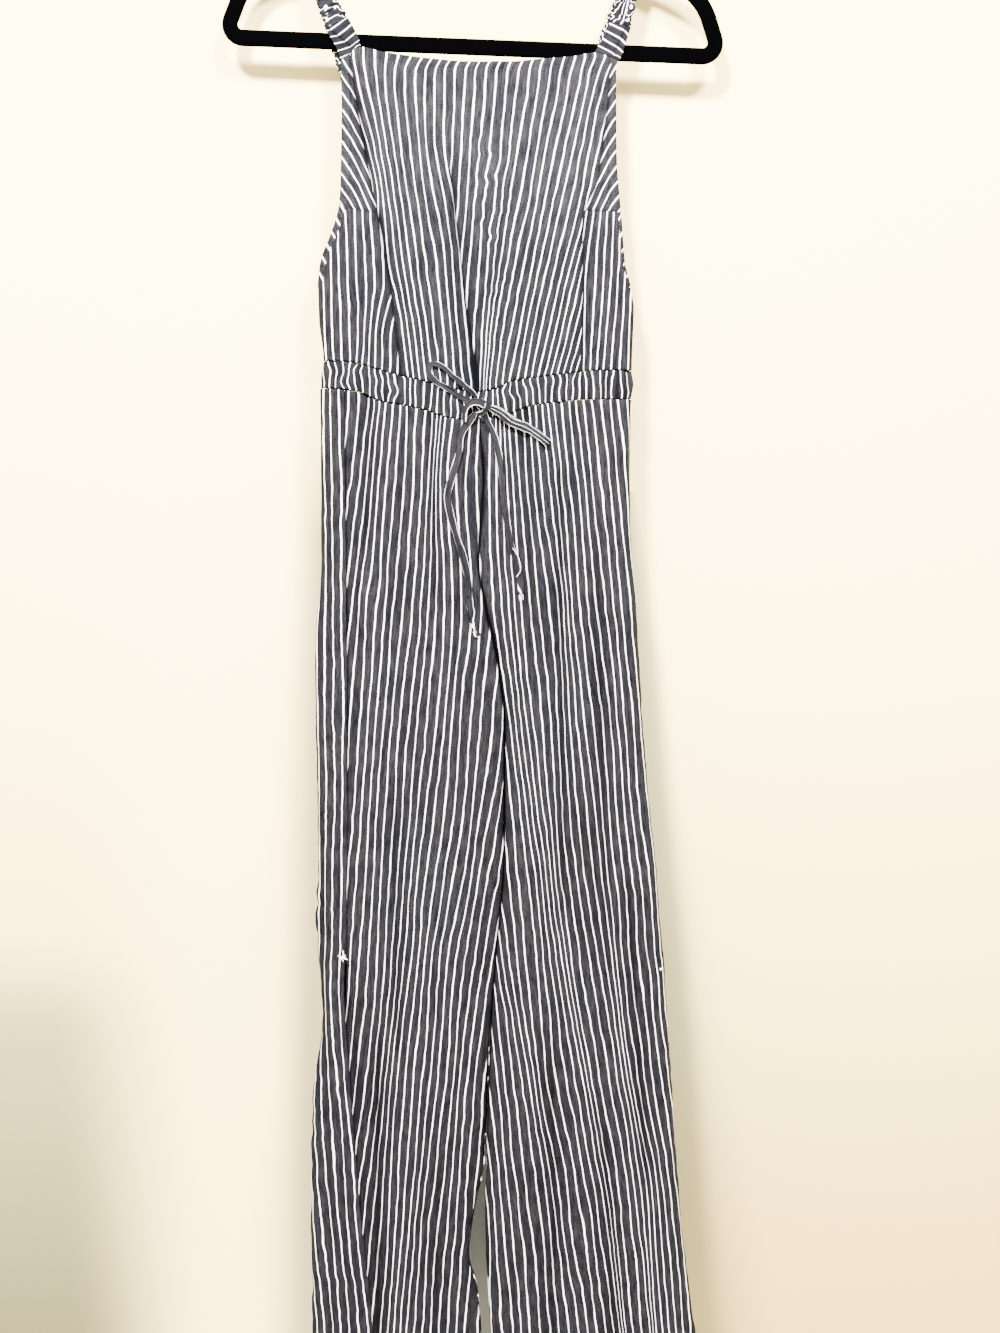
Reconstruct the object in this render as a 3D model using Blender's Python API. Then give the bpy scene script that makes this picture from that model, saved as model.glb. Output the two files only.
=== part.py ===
"""A striped cotton jumpsuit that hangs flat from its straps on a slim coat hanger.

World frame: the origin is the inner top of the hook, +Z is up, the jumpsuit's front faces -Y and its
left side, as seen from the front, is -X. The hanger's middle plane is Y = 0. Tables are in millimetres
and become metres where a mesh is made.
"""

import math
from collections import namedtuple

import bmesh
import bpy
import numpy as np

MM = 0.001

# ---------------------------------------------------------------- driving dimensions, mm

WALL = 1.2  # a cloth panel
SEAM_GAP = 0.3  # between two pieces that are sewn together
WAIST_GAP = 0.8  # at the two waist seams, whose gathers differ above and below
HEM_Z = -1557.0  # the trouser hems
CROTCH_Z = -832.0  # where the centre seams end and the inseams start
SLIT_TOP_Z = -1067.0  # the bar tacks at the top of the side slits
SLIT_SPREAD = 4.0  # how far each edge of the right slit stands back at the hem
TUCK = 4.0  # how far the left front panel drops behind the back panel's edge in the slit
TUCK_REACH, TUCK_SLOPE = 14.0, 12.0  # where it starts to drop, beyond that edge, and over what width
WAIST_LEFT, WAIST_CENTRE, WAIST_RIGHT = -142.0, 1.6, 141.0
LEG_TOP = -537.0  # the mean height of the legs' waist seam
LEVEL_BELOW = 300.0  # rows of a leg are level from here down, measured from the waist
ROUNDNESS = 2.6  # exponent of the flattened tube's section: 2 is an ellipse
AROUND = 500  # points that a section is worked out at before its columns are spaced

HANGER_ROLL = math.radians(2.2)  # the right end hangs lower
NECK_OFFSET = 4.3  # the hanger's middle, to the right of the line under the hook
BAR_Z, BAND, HANGER_THICK = -229.4, 14.0, 5.0
HANGER_HALF, ARM_SLOPE, END_SLOPE = 220.6, math.radians(20), math.radians(69)
ARM_PEAK_Z, END_RADIUS, SHOULDER_RADIUS, NECK_RADIUS = -104.4, 11.3, 50.0, 24.0
NECK_THICKER, NECK_WIDTH = 3.0, 22.0  # added to the thickness where the hook is set in, and over what width
ARC_STEPS = [8, 6, 6, 6, 8]  # steps round the hanger's corners
BAND_SIDES = 10  # sides of the hanger's rounded section

HOOK_WIRE, HOOK_INNER = 4.0, 20.0  # diameter of the wire, inner radius of the hook
HOOK_GAP, HOOK_RINGS = 0.9, 40

STRAP_THICK, LOOP_WIDTH, RUCHE_DEPTH, RUCHE_WIDTH = 3.0, 15.5, 0.5, 1.3
RUCHES_FRONT, RUCHES_BACK = 9, 27
TAB_THICK, TAB_GAP, TAB_COLUMNS = 2.0, 0.6, 7

CASING_BULGE, CASING_GATHER, GATHER_LENGTH = 1.4, 0.9, 9.5
GATHER_FADE, PLEAT_DEPTH, PLEAT_LENGTH = 75.0, 1.5, 21.0
BODICE_GATHER_RISE = 1.6  # the bodice's gathers fade this much sooner than the legs'
SIDE_FADE, INNER_FADE, FOLD_FADE = 12.0, 0.08, 0.3  # where folds flatten out: mm, share of a leg, of a fold

TIE_THICK, KNOT_GAP = 1.6, 0.5
KNOT_PINCH, KNOT_REACH, KNOT_SPREAD = 0.45, 6.0, 9.0  # how a strand narrows into the knot
BAND_POWER = 0.6  # squareness of a band's section

# ---------------------------------------------------------------- tables, mm

# The outline: the left and right edges of the garment at each height.
Outline = namedtuple("Outline", "z x")
LEFT_EDGE = [
    Outline(-230, -121.0), Outline(-276, -120.2), Outline(-337, -122.0), Outline(-364, -124.2),
    Outline(-391, -132.7), Outline(-408, -140.3), Outline(-424, -144.1), Outline(-437, -145.3),
    Outline(-464, -144.9), Outline(-502, -141.5), Outline(-518, -144.0), Outline(-543, -144.3),
    Outline(-688, -146.0), Outline(-754, -151.7), Outline(-802, -153.5), Outline(-961, -153.4),
    Outline(-1040, -155.7), Outline(-1120, -152.7), Outline(-1202, -161.4), Outline(-1260, -164.5),
    Outline(-1459, -167.9), Outline(-1557, -169.0),
]
RIGHT_EDGE = [
    Outline(-230, 126.0), Outline(-256, 122.8), Outline(-328, 124.1), Outline(-369, 128.2),
    Outline(-416, 132.4), Outline(-439, 138.1), Outline(-457, 141.0), Outline(-509, 140.5),
    Outline(-522, 142.5), Outline(-545, 139.5), Outline(-668, 141.8), Outline(-716, 147.1),
    Outline(-814, 153.1), Outline(-886, 158.8), Outline(-986, 169.8), Outline(-1082, 179.0),
    Outline(-1161, 186.0), Outline(-1234, 190.5), Outline(-1310, 197.5), Outline(-1373, 204.4),
    Outline(-1459, 215.9), Outline(-1557, 226.0),
]
# The centre seam down to the crotch, then the line where the two legs meet, then each leg's own edge.
LEFT_LEG_INNER = [
    Outline(-500, 1.6), Outline(-551, 1.6), Outline(-610, 5.2), Outline(-684, 0.4), Outline(-740, 9.7),
    Outline(-764, 15.3), Outline(-842, 23.8), Outline(-961, 23.8), Outline(-1050, 17.0),
    Outline(-1153, 9.3), Outline(-1277, 4.0), Outline(-1325, -5.8), Outline(-1373, -12.0),
    Outline(-1411, -3.0), Outline(-1459, 0.9), Outline(-1557, -2.0),
]
RIGHT_LEG_INNER = LEFT_LEG_INNER[:9] + [
    Outline(-1153, 9.9), Outline(-1215, 7.9), Outline(-1277, 6.4), Outline(-1325, 5.2),
    Outline(-1361, 6.1), Outline(-1397, 8.0), Outline(-1459, 11.0), Outline(-1557, 15.0),
]

# The side view: where the side edge lies, and how far the front and back stand out from it.
Depth = namedtuple("Depth", "z side front back closing")
DEPTHS = [
    Depth(-230, -6.0, 0.6, 8.0, 0.0), Depth(-330, -5.6, 4.5, 9.0, 0.0), Depth(-437, -2.0, 13.0, 11.0, 0.0),
    Depth(-503, 0.0, 17.0, 14.0, 0.0), Depth(-540, 0.0, 19.0, 16.0, 0.0), Depth(-620, 0.0, 23.0, 19.0, 0.2),
    Depth(-760, 0.0, 24.0, 20.0, 0.7), Depth(CROTCH_Z, 0.0, 24.0, 20.0, 1.0),
    Depth(-1200, 0.0, 23.0, 19.0, 1.0), Depth(-1557, 0.0, 21.0, 18.0, 1.0),
]

# Where the pieces end: height of a seam or an edge across the garment.
Edge = namedtuple("Edge", "x z")
NECKLINE = [
    Edge(-121, -243.2), Edge(-103, -231.6), Edge(-83, -235.6), Edge(-47, -240.5), Edge(-10, -243.4),
    Edge(29, -243.6), Edge(57, -241.5), Edge(84, -239.4), Edge(103.6, -236.2), Edge(126, -243.4),
]
BACK_TOP = [Edge(-145, -437), Edge(0, -441), Edge(141, -440)]
WAIST_FRONT = [
    Edge(-142, -502.4), Edge(-121, -503.3), Edge(-100, -507.8), Edge(-79, -514.1), Edge(-52, -520.8),
    Edge(0.7, -531.2), Edge(15, -528.5), Edge(32, -521.3), Edge(79, -515), Edge(110, -511.4), Edge(141, -511),
]
WAIST_BACK = [Edge(-142, -502.4), Edge(0, -508), Edge(141, -511)]
CASING_FRONT = [
    Edge(-142, -526.7), Edge(-121, -528.5), Edge(-107, -531.2), Edge(-90, -538.4), Edge(-50, -546.5),
    Edge(-17, -555.5), Edge(22, -552.8), Edge(47, -543.8), Edge(93, -538.4), Edge(141, -536.6),
]
CASING_BACK = [Edge(-142, -526.7), Edge(0, -535), Edge(141, -536.6)]

# Rows of the bodice and the casing, from 0 at the top edge to 1 at the low one, and their columns.
FRONT_LEVELS = [0, 0.03, 0.09, 0.16, 0.24, 0.32, 0.4, 0.48, 0.56, 0.64, 0.7, 0.76, 0.83, 0.9, 0.96, 1]
BACK_LEVELS = [0, 0.3, 0.65, 1]
CASING_LEVELS = [0, 0.35, 0.7, 1]
BODY_COLUMNS, CASING_COLUMNS, LEG_FRONT_COLUMNS, LEG_BACK_COLUMNS = 24, 66, 23, 19

# Heights of a leg's rows.
LEG_LEVELS = [
    LEG_TOP, -575, -620, -670, -725, -780, CROTCH_Z, -885, -940, -1000, SLIT_TOP_Z, -1094, -1140, -1190,
    -1245, -1300, -1355, -1410, -1465, -1515, HEM_Z,
]

# The left outseam lies on the front face. In the slit the back panel's edge hangs over the front panel's.
LEFT_OUTSEAM = [Outline(-500, -121.3), Outline(-721, -121.2), Outline(-1040, -126.0), Outline(-1094, -128.5)]
LEFT_SLIT_BACK = LEFT_OUTSEAM + [
    Outline(-1171, -124.7), Outline(-1306, -116.7), Outline(-1412, -108.0), Outline(-1557, -99.0)
]
LEFT_SLIT_FRONT = LEFT_OUTSEAM + [Outline(-1130, -133.0), Outline(-1300, -138.0), Outline(-1557, -140.0)]

# Large folds: a soft trough, or a ridge where the depth is negative, along a line from top to low end.
Fold = namedtuple("Fold", "x_top z_top x_low z_low width depth")
BODICE_FOLDS = [
    Fold(-25, -300, -1, -600, 9, 6.0),
    Fold(12, -330, 20, -560, 11, -2.0),
    Fold(-38, -330, -30, -560, 12, -2.2),
    Fold(-114, -225, -92, -378, 7, 3.0),
    Fold(-92, -340, -71, -560, 8, 3.5),
    Fold(124, -225, 106, -350, 8, 3.0),
    Fold(104, -330, 92, -560, 8, 3.5),
    Fold(-52, -400, -44, -560, 7, 1.6),
    Fold(48, -380, 58, -560, 8, 1.8),
]
FRONT_FOLDS = [
    Fold(-100, -480, -104, -700, 8, 2.5),
    Fold(-44, -500, -38, -760, 9, 3.0),
    Fold(-70, -520, -86, -900, 12, -2.5),
    Fold(-80, -860, -78, -1180, 10, 3.5),
    Fold(-50, -900, -62, -1350, 14, -2.5),
    Fold(-96, -1080, -104, -1620, 11, 4.5),
    Fold(-40, -1180, -46, -1620, 12, 2.5),
    Fold(42, -500, 50, -800, 10, 2.5),
    Fold(74, -560, 80, -1060, 8, 4.0),
    Fold(108, -620, 124, -1160, 8, 3.5),
    Fold(93, -600, 104, -1100, 9, -2.5),
    Fold(138, -940, 166, -1330, 10, 4.0),
    Fold(70, -1060, 74, -1620, 13, 3.0),
    Fold(118, -1180, 140, -1620, 13, 3.5),
    Fold(40, -900, 44, -1450, 12, -2.5),
]
BACK_FOLDS = [
    Fold(-98, -480, -104, -1000, 11, 3.5),
    Fold(-48, -500, -60, -1250, 13, 4.0),
    Fold(-120, -980, -126, -1620, 10, 3.5),
    Fold(-80, -1050, -92, -1620, 12, -3.0),
    Fold(-34, -1100, -40, -1620, 11, 3.5),
    Fold(46, -500, 66, -1150, 12, 4.0),
    Fold(96, -480, 112, -1100, 12, 3.5),
    Fold(84, -900, 96, -1620, 12, -3.0),
    Fold(130, -1000, 168, -1620, 12, 4.0),
    Fold(60, -1180, 60, -1620, 12, 3.5),
]

# The flat front ends of the straps: their left and right edges, from the neckline up.
TabRow = namedtuple("TabRow", "left_x left_z right_x right_z y")
TAB_LEFT = [
    TabRow(-120.9, -242.7, -102.9, -231.1, -5.6), TabRow(-124.0, -233.5, -106.0, -221.5, -5.9),
    TabRow(-129.5, -223.5, -109.9, -214.0, -5.9), TabRow(-134.3, -215.7, -114.3, -206.4, -5.9),
]
TAB_RIGHT = [
    TabRow(103.9, -235.6, 125.9, -242.9, -5.6), TabRow(108.5, -227.5, 129.3, -233.5, -5.9),
    TabRow(113.0, -219.5, 132.3, -224.5, -5.9), TabRow(117.1, -210.6, 135.5, -214.4, -5.9),
]

# The ruched straps: their middle line and width, up the front to the hanger's arm and down the back.
StrapRow = namedtuple("StrapRow", "x y z width")
STRAP_LEFT_FRONT = [
    StrapRow(-124.5, -4.9, -210.7, 22.0), StrapRow(-129.5, -4.9, -200.0, 19.0),
    StrapRow(-134.6, -4.9, -188.0, 16.5), StrapRow(-141.6, -4.9, -168.0, 15.5),
]
STRAP_LEFT_BACK = [
    StrapRow(-136.0, 5.0, -186.0, 15.0), StrapRow(-122.0, 5.2, -229.0, 15.0),
    StrapRow(-112.0, 5.6, -265.0, 15.0), StrapRow(-91.0, 6.8, -340.0, 15.0),
    StrapRow(-65.0, 8.2, -437.2, 17.0),
]
STRAP_RIGHT_FRONT = [
    StrapRow(126.4, -4.9, -212.0, 18.5), StrapRow(129.4, -4.9, -200.0, 17.5),
    StrapRow(132.0, -4.9, -188.0, 16.5), StrapRow(137.5, -4.9, -170.0, 15.5),
]
STRAP_RIGHT_BACK = [
    StrapRow(129.0, 5.0, -188.0, 15.0), StrapRow(113.0, 5.2, -231.0, 15.0),
    StrapRow(102.0, 5.6, -267.0, 15.0), StrapRow(83.0, 6.8, -340.0, 15.0),
    StrapRow(60.0, 8.2, -438.9, 17.0),
]
STRAP_CROSSING = {"left": -146.3, "right": 142.6}  # where the straps cross the arms, along the hanger

# The drawstring's routes over the front, from the knot outwards. `lift` is the height over the cloth.
Spot = namedtuple("Spot", "x z lift")
KNOT = Spot(4.0, -543.0, 3.9)
KNOT_SIZE = (14.0, 7.0, 12.6)
LOOP_LEFT = [
    Spot(-14.0, -537.5, 2.4), Spot(-26.0, -529.5, 2.0), Spot(-38.0, -522.5, 1.8), Spot(-44.2, -514.0, 1.8),
    Spot(-41.5, -507.4, 2.0), Spot(-34.0, -508.6, 2.4), Spot(-23.0, -517.5, 3.0), Spot(-12.0, -526.5, 4.2),
    Spot(-4.0, -533.5, 5.0),
]
LOOP_RIGHT_OVER = [
    Spot(20.0, -550.8, 5.8), Spot(31.0, -559.0, 5.6), Spot(44.0, -563.8, 5.4), Spot(56.0, -571.6, 5.2),
    Spot(64.0, -578.0, 4.9),
]
LOOP_RIGHT_UNDER = [
    Spot(63.4, -577.4, 2.4), Spot(54.0, -569.8, 2.3), Spot(43.0, -562.6, 2.3), Spot(31.0, -558.0, 2.4),
    Spot(20.0, -549.8, 2.6),
]
TIP_FOLD = np.array([2.4, 0, -1.9])  # from the middle of the right loop's turn to its tip
TAIL_LEFT = [
    Spot(-6.0, -556.0, 2.2), Spot(-14.0, -567.0, 2.0), Spot(-17.6, -588.0, 1.8), Spot(-23.4, -608.0, 1.8),
    Spot(-27.6, -624.0, 2.0), Spot(-25.4, -640.0, 2.2), Spot(-18.6, -664.0, 2.0), Spot(-12.8, -684.0, 1.8),
    Spot(-9.2, -702.0, 1.8), Spot(-8.6, -718.0, 1.8), Spot(-4.6, -738.0, 1.8), Spot(-0.8, -753.2, 1.8),
]
TAIL_RIGHT = [
    Spot(8.6, -558.0, 2.4), Spot(13.0, -567.0, 2.2), Spot(17.4, -580.0, 2.0), Spot(20.2, -598.0, 1.8),
    Spot(23.4, -628.0, 1.8), Spot(26.6, -650.0, 1.8), Spot(30.0, -670.0, 1.8), Spot(35.0, -684.0, 1.8),
    Spot(38.2, -700.0, 1.8), Spot(39.8, -714.0, 1.8),
]

# ---------------------------------------------------------------- curves and fields


def curve_through(table, key, value, at):
    """`value` at each `at`, on a smooth curve through the table's rows that never overshoots them."""
    rows = sorted(table, key=lambda row: getattr(row, key))
    keys = np.array([getattr(row, key) for row in rows], float)
    values = np.array([getattr(row, value) for row in rows], float)
    step = np.diff(keys)
    slope = np.diff(values) / step
    product = slope[:-1] * slope[1:]
    total = np.where(product > 0, slope[:-1] + slope[1:], 1.0)
    inner = np.where(product > 0, 2 * product / total, 0.0)
    tangent = np.concatenate([[slope[0]], inner, [slope[-1]]])
    i = np.clip(np.searchsorted(keys, at) - 1, 0, len(step) - 1)
    h = step[i]
    t = np.clip((at - keys[i]) / h, 0, 1)
    rise = t * t * (3 - 2 * t)
    swing = h * t * (1 - t) * (tangent[i] * (1 - t) - tangent[i + 1] * t)
    return values[i] + (values[i + 1] - values[i]) * rise + swing


def ease(t):
    """0 to 1, flat at both ends."""
    t = np.clip(t, 0, 1)
    return t * t * (3 - 2 * t)


def fold_depth(folds, x, z):
    """How far the folds push the surface in at (x, z)."""
    depth = np.zeros_like(x)
    for fold in folds:
        length = fold.z_top - fold.z_low
        along = (fold.z_top - z) / length
        centre = fold.x_top + (fold.x_low - fold.x_top) * along
        fade = ease(along / FOLD_FADE) * ease((1 - along) / FOLD_FADE)
        depth += fold.depth * fade * np.exp(-(((x - centre) / fold.width) ** 2))
    return depth


def pleats(x, below_seam):
    """Soft gathers that run out of a gathered seam and fade."""
    phase = x / PLEAT_LENGTH + 0.22 * np.sin(x / 17.0) + 0.15 * np.sin(x / 7.3 + 1)
    return PLEAT_DEPTH * np.exp(-np.abs(below_seam) / GATHER_FADE) * np.sin(2 * math.pi * phase)


def casing_gathers(x, level):
    """Close gathers over a cord that rounds the casing out between its seams."""
    phase = x / GATHER_LENGTH + 0.3 * np.sin(x / 13) + 0.2 * np.sin(x / 5.1)
    return CASING_GATHER * np.sin(2 * math.pi * phase) - CASING_BULGE * np.sin(math.pi * level)


def front_surface_y(x, z):
    """Where the outer face of the casing and of the legs' fronts lies."""
    left_half = x < curve_through(LEFT_LEG_INNER, "z", "x", z)
    inner = np.where(
        left_half, curve_through(LEFT_LEG_INNER, "z", "x", z), curve_through(RIGHT_LEG_INNER, "z", "x", z)
    )
    outer = np.where(
        left_half, curve_through(LEFT_EDGE, "z", "x", z), curve_through(RIGHT_EDGE, "z", "x", z)
    )
    across = np.clip((x - inner) / (outer - inner), 0, 1)
    leg_profile = (1 - np.abs(2 * across - 1) ** ROUNDNESS) ** (1 / ROUNDNESS)
    closing = curve_through(DEPTHS, "z", "closing", z)
    out = (1 - closing) * body_profile(x, z) + closing * leg_profile
    top, low = curve_through(WAIST_FRONT, "x", "z", x), curve_through(CASING_FRONT, "x", "z", x)
    on_casing = (z > low) & (z < top)
    on_leg = fold_depth(FRONT_FOLDS, x, z) + pleats(x, low - z)
    on_bodice = fold_depth(BODICE_FOLDS, x, z) + pleats(x, (z - top) * BODICE_GATHER_RISE)
    depth = np.where(z <= low, on_leg, on_bodice)
    depth = np.where(on_casing, casing_gathers(x, (top - z) / (top - low)), depth)
    return curve_through(DEPTHS, "z", "side", z) - curve_through(DEPTHS, "z", "front", z) * out + depth


def outward(points, clockwise):
    """Level unit normals of a section, pointing out of the garment."""
    tangent = np.gradient(points[:, :2], axis=0)
    tangent /= np.maximum(np.linalg.norm(tangent, axis=1), 1e-9)[:, None]
    normal = np.column_stack([-tangent[:, 1], tangent[:, 0]])
    return normal if clockwise else -normal


def body_profile(x, z):
    """0 at the garment's side edges and 1 at its middle, as a rounded flat tube."""
    left = curve_through(LEFT_EDGE, "z", "x", z)
    right = curve_through(RIGHT_EDGE, "z", "x", z)
    offset = np.abs((2 * x - left - right) / (right - left))
    return np.clip(1 - offset**ROUNDNESS, 0, None) ** (1 / ROUNDNESS)


# ---------------------------------------------------------------- rows of each piece


def body_row(level, top, low, angles, front):
    """One row across the bodice or the casing, between the curves of its two edges.

    `level` is 0 at the top edge and 1 at the low one. Angle 0 is the right side, pi the left side.
    A few rounds settle each point's x, which its height gives, and its height, which its x gives.
    """
    reach = np.cos(angles)
    across = (1 + np.sign(reach) * np.abs(reach) ** (2 / ROUNDNESS)) / 2
    x = WAIST_LEFT + (WAIST_RIGHT - WAIST_LEFT) * across
    for _ in range(5):
        z = curve_through(top, "x", "z", x) * (1 - level) + curve_through(low, "x", "z", x) * level
        left = curve_through(LEFT_EDGE, "z", "x", z)
        right = curve_through(RIGHT_EDGE, "z", "x", z)
        x = left + (right - left) * across
    side = curve_through(DEPTHS, "z", "side", z)
    out = np.abs(np.sin(angles)) ** (2 / ROUNDNESS)
    if front:
        y = side - curve_through(DEPTHS, "z", "front", z) * out
    else:
        y = side + curve_through(DEPTHS, "z", "back", z) * out
    return np.column_stack([x, y, z])


def leg_row(side, height):
    """One row round a leg: from the inner edge across the front, round the outer edge and back again."""
    angles = np.linspace(0, 2 * math.pi, AROUND)
    reach = np.cos(angles)
    across = (1 - np.sign(reach) * np.abs(reach) ** (2 / ROUNDNESS)) / 2
    front = angles <= math.pi
    inner_table, edge_table = (
        (LEFT_LEG_INNER, LEFT_EDGE) if side == "left" else (RIGHT_LEG_INNER, RIGHT_EDGE)
    )
    waist_side = WAIST_LEFT if side == "left" else WAIST_RIGHT
    waist_x = WAIST_CENTRE + (waist_side - WAIST_CENTRE) * across
    waist_z = np.where(
        front,
        curve_through(CASING_FRONT, "x", "z", waist_x),
        curve_through(CASING_BACK, "x", "z", waist_x),
    )
    z = height + (waist_z - WAIST_GAP - LEG_TOP) * np.clip(1 - (LEG_TOP - height) / LEVEL_BELOW, 0, 1)
    gap = -SEAM_GAP / 2 if side == "left" else SEAM_GAP / 2
    inner = curve_through(inner_table, "z", "x", z) + gap
    outer = curve_through(edge_table, "z", "x", z)
    x = inner + (outer - inner) * across
    closing = curve_through(DEPTHS, "z", "closing", z)
    leg_profile = np.abs(np.sin(angles)) ** (2 / ROUNDNESS)
    out = (1 - closing) * body_profile(x, z) + closing * leg_profile
    y = curve_through(DEPTHS, "z", "side", z) + np.where(
        front,
        -curve_through(DEPTHS, "z", "front", z) * out,
        curve_through(DEPTHS, "z", "back", z) * out,
    )
    points = np.column_stack([x, y, z])
    normal = outward(points, clockwise=side == "left")
    depth = np.where(front, fold_depth(FRONT_FOLDS, x, z), fold_depth(BACK_FOLDS, x, z))
    depth = (depth + pleats(x, waist_z - z)) * ease(across / INNER_FADE)
    points[:, :2] -= normal * depth[:, None]
    return points, normal, front


def leg_cuts(side, points, along, front):
    """Distances along the row where the front panel ends and where the back panel begins."""
    z = points[:, 2]
    if side == "right":
        spread = SEAM_GAP / 2 + SLIT_SPREAD * ease((SLIT_TOP_Z - z.mean()) / (SLIT_TOP_Z - HEM_Z))
        outer = along[np.argmax(points[:, 0])]
        return outer - spread, outer + spread
    cuts = []
    for table in (LEFT_SLIT_FRONT, LEFT_SLIT_BACK):
        past = front & (points[:, 0] < curve_through(table, "z", "x", z))
        cuts.append(along[np.argmax(past)])
    return cuts[0] - SEAM_GAP / 2, cuts[1] + SEAM_GAP / 2


def leg_panels(side, columns_front, columns_back):
    """The outer points and normals of a leg's front and back panel, row by row."""
    rows = {"front": [], "back": []}
    for height in LEG_LEVELS:
        points, normal, front = leg_row(side, height)
        steps = np.linalg.norm(np.diff(points[:, :2], axis=0), axis=1)
        along = np.concatenate([[0], np.cumsum(steps)])
        front_end, back_start = leg_cuts(side, points, along, front)
        end_gap = SEAM_GAP / 2
        tucked = points.copy()
        if side == "left":
            edge = curve_through(LEFT_SLIT_BACK, "z", "x", points[:, 2])
            under = ease((edge + TUCK_REACH - points[:, 0]) / TUCK_SLOPE) * (height < SLIT_TOP_Z)
            tucked[:, :2] -= normal * (TUCK * under)[:, None]
        rows["front"].append(resample_on(tucked, normal, along, end_gap, front_end, columns_front))
        rows["back"].append(resample_on(points, normal, along, back_start, along[-1] - end_gap, columns_back))
    return rows


def resample_on(points, normal, along, start, end, count):
    at = np.linspace(start, end, count)
    data = np.column_stack([points, normal])
    return np.column_stack([np.interp(at, along, column) for column in data.T])


# ---------------------------------------------------------------- meshes


def new_object(name, bm, material, smooth=True):
    mesh = bpy.data.meshes.new(name)
    bmesh.ops.recalc_face_normals(bm, faces=bm.faces[:])
    bm.to_mesh(mesh)
    bm.free()
    for polygon in mesh.polygons:
        polygon.use_smooth = smooth
    mesh.materials.append(material)
    obj = bpy.data.objects.new(name, mesh)
    bpy.context.scene.collection.objects.link(obj)
    return obj


def grid_places(bm, columns, rows):
    """A flat grid, with each vertex's column and row."""
    bmesh.ops.create_grid(bm, x_segments=columns - 1, y_segments=rows - 1, size=1)
    return {
        vertex: (round((vertex.co.x + 1) / 2 * (columns - 1)), round((vertex.co.y + 1) / 2 * (rows - 1)))
        for vertex in bm.verts
    }


def panel(name, rows, wall, material):
    """A sheet with a wall: `rows` holds x, y, z and the level normal of each outer point, in mm."""
    rows = np.array(rows)
    bm = bmesh.new()
    places = grid_places(bm, rows.shape[1], rows.shape[0])
    by_place = {(round(v.co.x, 5), round(v.co.y, 5)): place for v, place in places.items()}
    grown = bmesh.ops.extrude_face_region(bm, geom=bm.faces[:], use_keep_orig=True)
    inner = {item for item in grown["geom"] if isinstance(item, bmesh.types.BMVert)}
    for vertex in bm.verts:
        column, row = by_place[(round(vertex.co.x, 5), round(vertex.co.y, 5))]
        x, y, z, normal_x, normal_y = rows[row, column]
        depth = wall if vertex in inner else 0.0
        vertex.co = ((x - normal_x * depth) * MM, (y - normal_y * depth) * MM, z * MM)
    return new_object(name, bm, material)


def tube(name, rings, material, closed=False):
    """A skin over rings of points in mm. An open run of rings gets an end face at each end."""
    rings = np.array(rings)
    around = rings.shape[1]
    if closed:
        rings = np.concatenate([rings, rings[:1]])
    bm = bmesh.new()
    places = grid_places(bm, around + 1, rings.shape[0])
    for vertex, (column, row) in places.items():
        vertex.co = rings[row, column % around] * MM
    bmesh.ops.remove_doubles(bm, verts=bm.verts[:], dist=1e-6)
    if not closed:
        bmesh.ops.holes_fill(bm, edges=[edge for edge in bm.edges if edge.is_boundary], sides=0)
    return new_object(name, bm, material)


def smooth_path(points, count):
    """`count` evenly spaced points and their other values, on a curve through the rows of a table."""
    points = np.array(points, float)
    steps = np.linalg.norm(np.diff(points[:, :3], axis=0), axis=1)
    along = np.concatenate([[0], np.cumsum(steps)])
    tangent = np.gradient(points, along, axis=0)
    dense = []
    for i, step in enumerate(steps):
        for t in np.linspace(0, 1, 24, endpoint=i == len(steps) - 1):
            rise = t * t * (3 - 2 * t)
            swing = step * t * (1 - t) * (tangent[i] * (1 - t) - tangent[i + 1] * t)
            dense.append(points[i] + (points[i + 1] - points[i]) * rise + swing)
    dense = np.array(dense)
    along = np.concatenate([[0], np.cumsum(np.linalg.norm(np.diff(dense[:, :3], axis=0), axis=1))])
    at = np.linspace(0, along[-1], count)
    return np.column_stack([np.interp(at, along, column) for column in dense.T])


def unit(vector):
    return vector / np.linalg.norm(vector)


def band_rings(path, faces, widths, thicknesses, sides):
    """Flattened rings along a path. `faces` gives the direction that the band's flat side faces."""
    tangent = np.gradient(path, axis=0)
    rings = []
    for i, point in enumerate(path):
        along = unit(tangent[i])
        across = unit(np.cross(faces[i], along))
        out = unit(np.cross(along, across))
        turn = 2 * math.pi * (np.arange(sides) + 0.5) / sides
        flat = np.sign(np.sin(turn)) * np.abs(np.sin(turn)) ** BAND_POWER
        wide = np.sign(np.cos(turn)) * np.abs(np.cos(turn)) ** BAND_POWER
        half_width, half_thick = widths[i] / 2, thicknesses[i] / 2
        rings.append(point + np.outer(wide * half_width, across) + np.outer(flat * half_thick, out))
    return rings


def material(name, colour, roughness, metallic=0.0):
    made = bpy.data.materials.new(name)
    made.use_nodes = True
    shader = made.node_tree.nodes["Principled BSDF"]
    shader.inputs["Base Color"].default_value = (*colour, 1)
    shader.inputs["Roughness"].default_value = roughness
    shader.inputs["Metallic"].default_value = metallic
    return made


# ---------------------------------------------------------------- hanger


def rolled(x, z):
    """A point of the hanger, turned about the hook's inner top so that the right end hangs lower."""
    cos, sin = math.cos(HANGER_ROLL), math.sin(HANGER_ROLL)
    return x * cos + z * sin, z * cos - x * sin


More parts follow.
